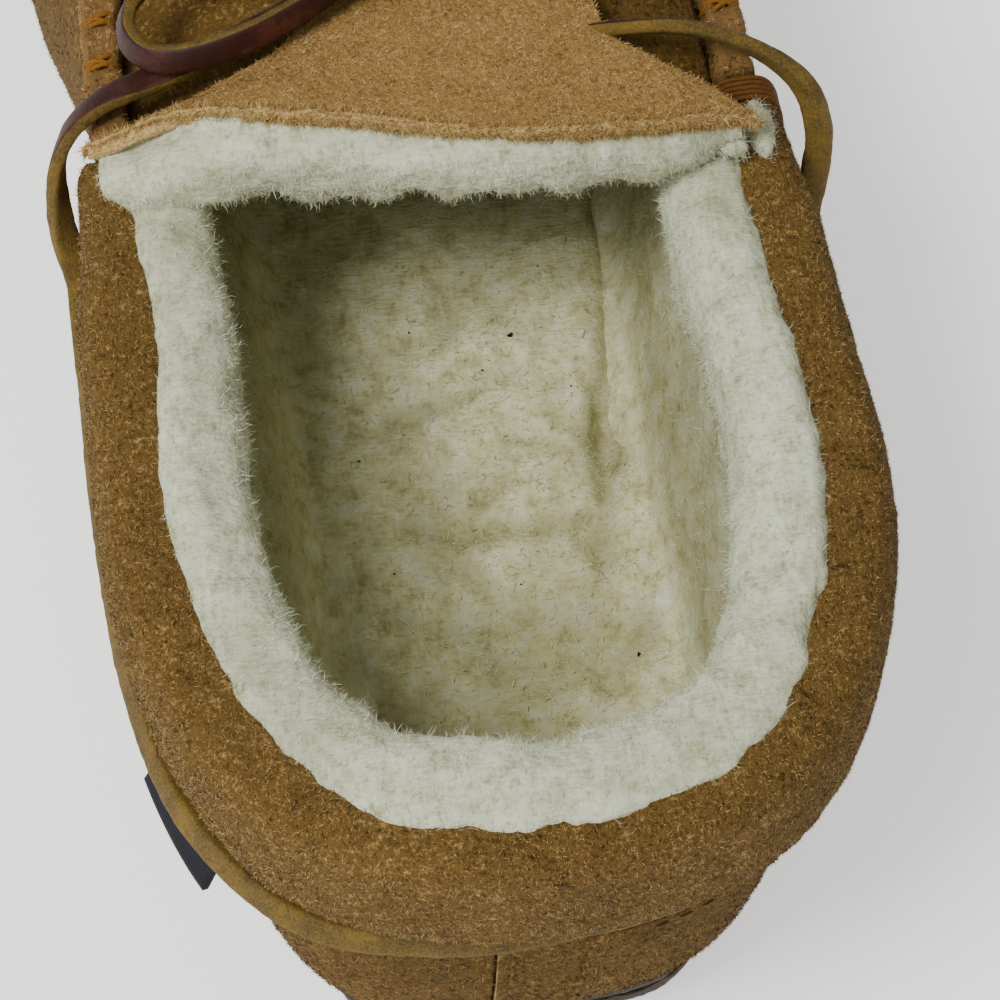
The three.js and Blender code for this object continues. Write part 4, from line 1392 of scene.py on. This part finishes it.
        napped(mesh, "tongue_wool", "fleece", Finish.WOOL, hanging, comb)


def woolly(points: np.ndarray, normals: np.ndarray) -> np.ndarray:
    """Tufts and hollows of the fleece, in millimetres."""
    warp = np.stack([cloud(points, 5, 50 + k) for k in range(3)], axis=1) * 1.6
    tufts = cloud(points + warp, 4.2, 55, 2)
    return 0.8 * cloud(points, 11, 54, 2) + 0.55 * tufts + 0.16 * cloud(points + warp, 1.1, 56)


@dataclass
class Lining:
    """Fleece lining: a thick roll round the collar, the walls and the trodden footbed."""

    bed: float = 18.6
    pile: float = 6.2
    bends: tuple[tuple[float, float], ...] = (
        # height above the bed and distance from the wall, where the lining turns in towards the bed
        (24, 0), (16, 1.8), (9, 4.6), (5, 8.2), (3.6, 12), (3, 17),
    )
    creases: tuple[tuple[float, ...], ...] = (
        # from across, along, to across, along, width, depth: wrinkles of the footbed
        (23.6, 120, 21, 99, 1.7, 2.2), (21, 99, 17.6, 78, 1.9, 2.4), (17.6, 78, 15, 64, 1.6, 1.3),
        (-9, 89, 9, 95.5, 1.6, 1.5), (-10, 73, 14, 70, 1.4, 1.2), (1, 76, 6, 81, 1.3, 1.0),
        (-14, 100, 0, 103, 1.6, 0.9),
        (4, 52, 11, 55, 4.5, 1.2), (-12, 60, 0, 56, 1.8, 0.8), (14, 46, 22, 58, 1.8, 1.0),
    )
    tuft: tuple[float, ...] = (39.3, 98, 64.6, 1.9, 4.8, 2.4)  # middle, then half width, length and height
    speck_rows: tuple[tuple[float, float, float], ...] = (
        # across, along, size
        (7.3, 99.5, 1.0), (3.8, 94.6, 0.5), (-5.5, 103, 0.45), (17.5, 49.8, 0.8), (-2.4, 42.4, 0.8), (-15, 84, 0.6),
        (15, 91, 0.4), (24, 66, 0.5), (20, 78, 0.4), (-12, 66, 0.4), (4, 63, 0.35),
    )

    def place(self, turn: np.ndarray, down: np.ndarray) -> np.ndarray:
        """The lining's face from the cuff over the roll and down to the footbed."""
        turns, where = np.unique(turn, return_inverse=True)
        rim = LAST.face(turns, np.ones_like(turns))
        out = LAST.outward("rim", turns)
        fore = smooth(LAST.column("rim_along", turns), LAST.throat - 0.022, LAST.throat + 0.004)
        heel = smooth(LAST.column("rim_along", turns), 0.12, 0.02)
        overlap = -1.0 + 2.4 * heel
        sag = 7 * fore
        wide = (0.8 + 0.9 * smooth(np.cos(2 * np.pi * turns), 0.2, 1.0)) * (1 - fore)

        def over(side: np.ndarray | float, lift: np.ndarray | float) -> np.ndarray:
            """Points out from the rim and above it."""
            side, lift = np.broadcast_to(side, turns.shape), np.broadcast_to(lift, turns.shape)
            return rim + out * side[:, None] + UP * (lift - sag)[:, None]

        def behind(level: np.ndarray, side: np.ndarray | float) -> np.ndarray:
            """Points inside the wall's face."""
            return LAST.wall(turns, level, np.broadcast_to(-side, turns.shape))

        top = LAST.level_at(turns, rim[:, 2] - 13 - 3 * fore)
        wall = LAST.wall_thick
        round_off = 0.35 + 0.65 * smooth(np.sin(2 * np.pi * turns), -0.4, 0.6) + 0.25 * heel
        round_off *= 1 - 0.7 * smooth(LAST.column("rim_along", turns), 0.45, 0.6)
        base = wall + self.pile
        bends = [
            behind(LAST.level_at(turns, np.full_like(turns, self.bed + lift)), base + round_off * far)
            for lift, far in self.bends
        ]
        points = [
            over(overlap, 2.6), over(overlap - 0.6, 3.7), over(overlap * 0.5 - 2.6, 4.6), over(-5.6 - wide * 0.4, 4.5),
            over(-8.4 - wide, 3.0), over(-10.2 - wide, 0.2), over(-10.6 - wide, -3.6), over(-10.0 - wide * 0.5, -8),
            behind(top, base + 1.2), *bends,
        ]
        for point, lift in zip(points[-3:], (2.2, 0.1, -2.2)):
            point[:, 2] = self.bed + lift
        profile = np.stack(points, axis=1)
        return along_curve(profile[where], down)

    def bed_place(self, along: np.ndarray, across: np.ndarray) -> np.ndarray:
        """The footbed from heel to toe."""
        turns = np.linspace(0, 0.5, 400)
        halves = []
        for turn in (turns, 1 - turns):
            level = LAST.level_at(turn, np.full_like(turn, self.bed))
            halves.append(LAST.wall(turn, level, np.full_like(turn, -LAST.wall_thick - 4)))
        start = max(half[0, 1] for half in halves) + 0.4
        end = min(half[-1, 1] for half in halves) - 0.4
        y = start + (end - start) * (1 - np.cos(np.pi * along * 0.5)) ** 0.9
        left, right = (np.interp(y, half[:, 1], half[:, 0]) for half in halves)
        x = left + (right - left) * across
        z = np.full_like(x, self.bed) + 0.9 * (2 * across - 1) ** 4
        return np.stack([x, y, z], axis=-1)

    def trodden(self, points: np.ndarray, normals: np.ndarray) -> np.ndarray:
        """Matted pile of the footbed, with its crease and wrinkles."""
        matted = 1.6 * cloud(points, 13, 60, 3) + 0.95 * woolly(points, normals)
        plan = points[:, :2] + 1.5 * np.stack([cloud(points, 8, 61), cloud(points, 8, 62)], axis=1)
        crease = np.zeros(len(points))
        for x0, y0, x1, y1, width, deep in self.creases:
            start, way = np.array((x0, y0)), np.array((x1 - x0, y1 - y0))
            share = np.clip((plan - start) @ way / (way @ way), 0, 1)
            apart = np.linalg.norm(plan - start - share[:, None] * way, axis=1)
            crease = np.minimum(crease, -deep * np.exp(-((apart / width) ** 2)))
        hollow = -1.2 * np.exp(-((points[:, 0] / 15) ** 2 + ((points[:, 1] - 48) / 26) ** 2))
        return matted + crease + hollow

    def vamp_place(self, down: np.ndarray, across: np.ndarray) -> np.ndarray:
        """Fleece on the underside of the plug."""
        point = LAST.plug(down * 0.93, across)
        point[..., 2] -= LAST.wall_thick + 4.5
        return point

    def build(self) -> None:
        """Builds the lining in place of the insole's solid."""
        mesh = facing_out(surface(520, 100, self.place))
        mesh.flip_normals()
        pushed(mesh, woolly)
        finished(mesh, "fleece_lining", "fleece", Finish.FLEECE)

        def collar(points: np.ndarray, normals: np.ndarray) -> np.ndarray:
            """Most of the wool is near the collar."""
            return (points[:, 1] < 112) * (0.25 + (points[:, 2] > 52))

        def inwards(points: np.ndarray, normals: np.ndarray) -> np.ndarray:
            """Into the shoe, with swirls."""
            centre = np.stack([0 * points[:, 0], np.clip(points[:, 1], 45, 110), 40 + 0 * points[:, 0]], axis=1)
            swirl = np.stack([cloud(points, 9, 70 + k) for k in range(3)], axis=1)
            return unit(centre - points) * 0.9 + swirl * 0.8

        napped(mesh, "lining_wool", "fleece", Finish.WOOL, collar, inwards)
        bed = facing(surface(200, 110, self.bed_place), UP)
        pushed(bed, self.trodden)
        finished(bed, "fleece_footbed", "fleece", Finish.FLEECE, node="insole")
        napped(bed, "footbed_wool", "fleece", Finish.BED_WOOL, lambda p, n: 1.0 * (p[:, 1] < 130))
        mesh = facing(surface(70, 50, self.vamp_place), -UP)
        pushed(mesh, woolly)
        finished(mesh, "vamp_fleece", "fleece", Finish.FLEECE)
        mesh = surface(48, 26, self.tuft_place)
        pushed(mesh, lambda p, n: 0.9 * woolly(p, n))
        finished(mesh, "fleece_tuft_0", "fleece", Finish.FLEECE)
        napped(mesh, "tuft_wool_0", "fleece", Finish.WOOL)
        finished(self.specks(places_of(bed)), "grass_specks", "fleece", Finish.SPECK)

    def tuft_place(self, turn: np.ndarray, tilt: np.ndarray) -> np.ndarray:
        """The tuft of fleece that shows at the tongue's inner corner."""
        x, y, z, wide, long, high = self.tuft
        a, b = 2 * np.pi * turn, np.pi * (tilt - 0.5)
        ring = np.cos(b)
        return np.stack([x + wide * ring * np.cos(a), y + long * ring * np.sin(a), z + high * np.sin(b)], 1)

    def specks(self, places: np.ndarray) -> bpy.types.Mesh:
        """Bits of grass that lie on the footbed, whose places are given."""
        bits = []
        for number, (x, y, size) in enumerate(self.speck_rows):
            turn = number * 2.4
            nearest = np.argmin((places[:, 0] - x) ** 2 + (places[:, 1] - y) ** 2)
            way = size * np.array((math.cos(turn), math.sin(turn), 0.0))
            bend = 0.7 * size * np.array((math.cos(turn + 1), math.sin(turn + 1), 0.1))
            start = places[nearest] + (0, 0, 0.2)
            bits.append(tube(np.array([start, start + way * 0.5, start + way * 0.5 + bend * 0.6]), 0.3 * size, 5))
        return joined(bits)


@dataclass
class Lace:
    """Rawhide lace: the run round the collar and the bow."""

    width: float = 3.6
    thick: float = 1.9
    left: tuple[tuple[float, ...], ...] = (
        (-14.5, 121, 71.8), (-21.5, 118.6, 70.6), (-28.5, 116, 69.8), (-35.5, 113.8, 69.3), (-41.5, 112, 68.9),
        (-46, 110, 66.6), (-48.6, 107.6, 62), (-49.2, 105.4, 56), (-48.8, 103, 50), (-47.8, 99, 44.6),
    )
    right: tuple[tuple[float, ...], ...] = (
        (44.9, 92.5, 44.6), (46, 95.5, 50), (46.9, 97, 56), (47.3, 98.8, 62), (45.9, 102, 67), (42, 105.4, 69.8),
        (36.6, 108.4, 71.1), (31, 110.8, 71.2), (24.5, 112.6, 69.8), (19, 114.4, 67.6),
    )
    run: tuple[tuple[float, float], ...] = (
        (0.195, 1.06), (0.165, 1.1), (0.13, 1.02), (0.095, 1.04), (0.06, 0.98), (0.03, 0.72), (0, 0.5),
        (-0.04, 0.45), (-0.08, 0.5), (-0.12, 0.6), (-0.16, 0.7), (-0.19, 0.8),
    )
    knot: tuple[float, float, float] = (-4, 124, 74.1)
    loop_left: tuple[tuple[float, ...], ...] = (
        (-10.8, 120.8, 75.4), (-16, 117.6, 75.2), (-23, 114.6, 74.8), (-30, 113.4, 74), (-35.4, 114.6, 73.2),
        (-37.8, 118.4, 72.8), (-37, 122.8, 72.8), (-33.4, 126, 73), (-27.5, 127.8, 73.8), (-20.5, 128.2, 74.6),
        (-11.6, 127, 75.4),
    )
    loop_right: tuple[tuple[float, ...], ...] = (
        (2.1, 125, 75.1), (9.5, 127, 75.2), (17.5, 128.2, 74.6), (25.5, 130.2, 73.6), (31, 133.8, 72.6),
        (32.2, 138.4, 72), (29, 142, 71.6), (22.6, 142, 71.8), (14.6, 138.2, 72.8), (8, 133.8, 73.8),
        (2.4, 129.6, 74.8),
    )
    end_left: tuple[tuple[float, ...], ...] = (
        (-7.2, 129.8, 72.2), (-10, 135.4, 70), (-13, 143, 68.2), (-14.4, 150.5, 66.4), (-13.8, 158.5, 64.4),
        (-11.6, 166.4, 62.2), (-9.6, 174, 60),
    )
    end_right: tuple[tuple[float, ...], ...] = (
        (-2.4, 130.2, 72.2), (-0.4, 136, 70.2), (1.6, 144.5, 68.6), (4.6, 152.4, 66.6), (9, 160, 64.4),
        (12.8, 167.4, 62.2), (14.8, 175.4, 59.8),
    )

    def strip(
        self, name: str, points: Sequence, start: Sequence[float], rolls: Sequence[tuple[float, float]]
    ) -> tuple[bpy.types.Object, np.ndarray]:
        """A flat lace along a route.

        Args:
            name: the piece's name.
            points: the route.
            start: direction of the grain face at the first point.
            rolls: turns about the route, as share of the way and degrees.

        Returns:
            The piece and its centre line.
        """
        path = resampled(points, 0.7)
        _, normals, across = frames_along(path, np.asarray(start, float))
        share = np.linspace(0, 1, len(path))
        roll = np.radians(np.interp(share, *zip(*rolls)))[:, None]
        face = normals * np.cos(roll) + across * np.sin(roll)
        side = across * np.cos(roll) - normals * np.sin(roll)

        def place(run: np.ndarray, ring: np.ndarray) -> np.ndarray:
            """Points of the strip along the route and round its section."""
            spot = np.clip(run, 0, 1) * (len(path) - 1)
            i = np.minimum(spot.astype(int), len(path) - 2)
            t = (spot - i)[:, None]
            centre, up, out = (a[i] * (1 - t) + a[i + 1] * t for a in (path, face, side))
            cosine, sine = np.cos(2 * np.pi * ring), np.sin(2 * np.pi * ring)
            wide = squarer(cosine, 0.45) * self.width / 2 * (1 + 0.05 * cloud(centre, 4, 80))
            tall = squarer(sine, 0.5) * self.thick / 2
            return centre + out * wide[:, None] + up * tall[:, None]

        def sides(run: np.ndarray, ring: np.ndarray) -> np.ndarray:
            """Grain on the face, flesh on the edges and the back."""
            return np.where((ring > 0.08) & (ring < 0.42), 0, 1)

        mesh = surface(len(path) - 1, 20, place, sides, close_ends=True)
        pushed(mesh, lambda p, n: 0.07 * cloud(p, 1.0, 81))
        return finished(mesh, name, "rawhide", Finish.GRAIN, Finish.FLESH), path

    def build(self) -> None:
        turn, out = (np.array([row[k] for row in self.run], float) for k in (0, 1))
        run = CUFF.under(turn, out)
        run[:, 2] -= 1.5 + 1.5 * LAST.gap
        rolls = ((0, 0), (0.06, 0), (0.12, 60), (0.2, 180), (0.8, 180), (0.88, 125), (0.93, 70), (1, 40))
        collar, _ = self.strip("collar_lace", [*self.left, *run.tolist(), *self.right], (0, 0, 1), rolls)
        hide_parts("lace")
        knot = self.tie()
        free = (
            ("bow_loop_left", "lace_loop_left", self.loop_left, "knot", ()),
            ("bow_loop_right", "lace_loop_right", self.loop_right, "knot", ()),
            ("bow_end_left", "lace_end_left", self.end_left, "bare", (knot,)),
            ("bow_end_right", "lace_end_right", self.end_right, "bare", ()),
        )
        for name, node, points, far, pieces in free:
            edge = ((0, -60), (1, -60)) if "loop" in name else ((0, 0), (0.4, 20), (1, 0))
            piece, path = self.strip(name, points, (0, 0, 1), edge)
            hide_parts(node)
            line = metres(path)

    def tie(self) -> bpy.types.Object:
        """The bow's knot: one strap drawn over two others."""
        x, y, z = self.knot
        turn = np.linspace(0, 2 * np.pi, 25)
        wrap = [(x + 0.8 * math.sin(t), y + 3.4 * math.cos(t), z + 2.9 * math.sin(t)) for t in turn]
        straps = (
            ((-7.2, -3.3, 1.3), (-4, -2, 1.2), (0, -0.6, 1.4), (3.4, 0.5, 1.2), (6.4, 1.1, 1)),
            ((-8, 3.1, 1.3), (-4.4, 2.2, 0.6), (0, 2.4, -0.4), (3.6, 4.2, 0.2), (6.8, 5.6, 0.7)),
            ((-3.4, 6.4, -2), (-2.4, 3.4, -1.4), (-0.8, 1, -1), (0, -1, -1.2)),
            ((1.7, 6.8, -2), (1.4, 3.4, -1.6), (0.8, 1, -1.2), (0, -1, -1.2)),
            ((-11.2, -3.2, -2.2), (-7, -1.8, -1.6), (-3, -0.6, -1.2), (0, 0, -1)),
        )
        knot, _ = self.strip("bow_knot", wrap, (0, 1, 0), ((0, 0), (1, 0)))
        for number, bend in enumerate(straps):
            points = [(x + a, y + b, z + c) for a, b, c in bend]
            edge = -50 if number < 2 else 0
            rolls = ((0, edge), (0.3, edge * 0.3), (0.7, edge * 0.3), (1, edge))
            strap, _ = self.strip(f"bow_strap_{number}", points, (0, 0, 1), rolls)
            strap.parent = None
            with bpy.context.temp_override(active_object=knot, selected_editable_objects=[knot, strap]):
                bpy.ops.object.join()
        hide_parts("lace_knot")
        return knot


# ---------------------------------------------------------------- studio


@dataclass
class Studio:
    """Camera at the photograph's angle, soft lights and a pale floor."""

    turned: float = 8.437
    down: float = 61.527
    distance: float = 537.4
    focal: float = 4.4277
    target: tuple[float, float, float] = (-0.291, 53.089, 60)
    sensor: float = 36
    aim: tuple[float, float, float] = (0, -0.05, 0.04)
    lamps: tuple[tuple[str, tuple[float, float, float], float, float], ...] = (
        # name, place and size in metres, power
        ("key", (-0.54, -0.34, 1.12), 0.45, 14), ("heel_side", (-0.7, -0.9, 0.55), 0.7, 3),
        ("toe_side", (0.1, 0.95, 0.7), 0.8, 1.5),
    )
    daylight: float = 0.32
    floor_half: float = 3
    floor_gap: float = 0.0002

    def build(self) -> None:
        """Sets the studio up."""
        turn, fall = math.radians(self.turned), math.radians(self.down)
        look = np.array((math.sin(turn) * math.cos(fall), math.cos(turn) * math.cos(fall), -math.sin(fall)))
        lens = bpy.data.cameras.new("camera")
        lens.sensor_width = self.sensor
        lens.lens = self.focal * self.sensor
        lens.clip_start, lens.clip_end = 0.01, 20
        camera = bpy.data.objects.new("camera", lens)
        camera.location = metres(np.array(self.target) - look * self.distance)
        camera.rotation_mode = "QUATERNION"
        camera.rotation_quaternion = Vector(look).to_track_quat("-Z", "Y")
        bpy.context.scene.collection.objects.link(camera)
        bpy.context.scene.camera = camera
        for row in self.lamps:
            self.lamp(*row)
        world = bpy.data.worlds.new("studio")
        world.use_nodes = True
        ground = world.node_tree.nodes["Background"]
        ground.inputs["Color"].default_value = (1, 1, 1, 1)
        ground.inputs["Strength"].default_value = self.daylight
        bpy.context.scene.world = world
        shape = bmesh.new()
        bmesh.ops.create_grid(shape, x_segments=2, y_segments=2, size=self.floor_half)
        bmesh.ops.translate(shape, verts=shape.verts, vec=(0, 0, -self.floor_gap))
        mesh = bpy.data.meshes.new("floor")
        shape.to_mesh(mesh)
        shape.free()
        mesh.materials.append(Floor("studio_floor", srgb(250, 250, 249)).material())
        floor = bpy.data.objects.new("floor", mesh)
        bpy.context.scene.collection.objects.link(floor)

    def lamp(self, name: str, place: tuple[float, float, float], size: float, power: float) -> None:
        """Adds a soft light that points at the slipper."""
        light = bpy.data.lights.new(name, "AREA")
        light.size = size
        light.energy = power
        lamp = bpy.data.objects.new(name, light)
        lamp.location = place
        lamp.rotation_mode = "QUATERNION"
        lamp.rotation_quaternion = (Vector(self.aim) - Vector(place)).to_track_quat("-Z", "Y")
        bpy.context.scene.collection.objects.link(lamp)


def main() -> None:
    """Builds the studio and every piece."""
    logging.basicConfig(level=logging.INFO, format="%(message)s")
    for part in (Studio(), Lace(), Sole(), Shell(), CUFF, PATCHES, Tab(), Tongue(), Lining()):
        part.build()


if __name__ == "__main__":
    main()
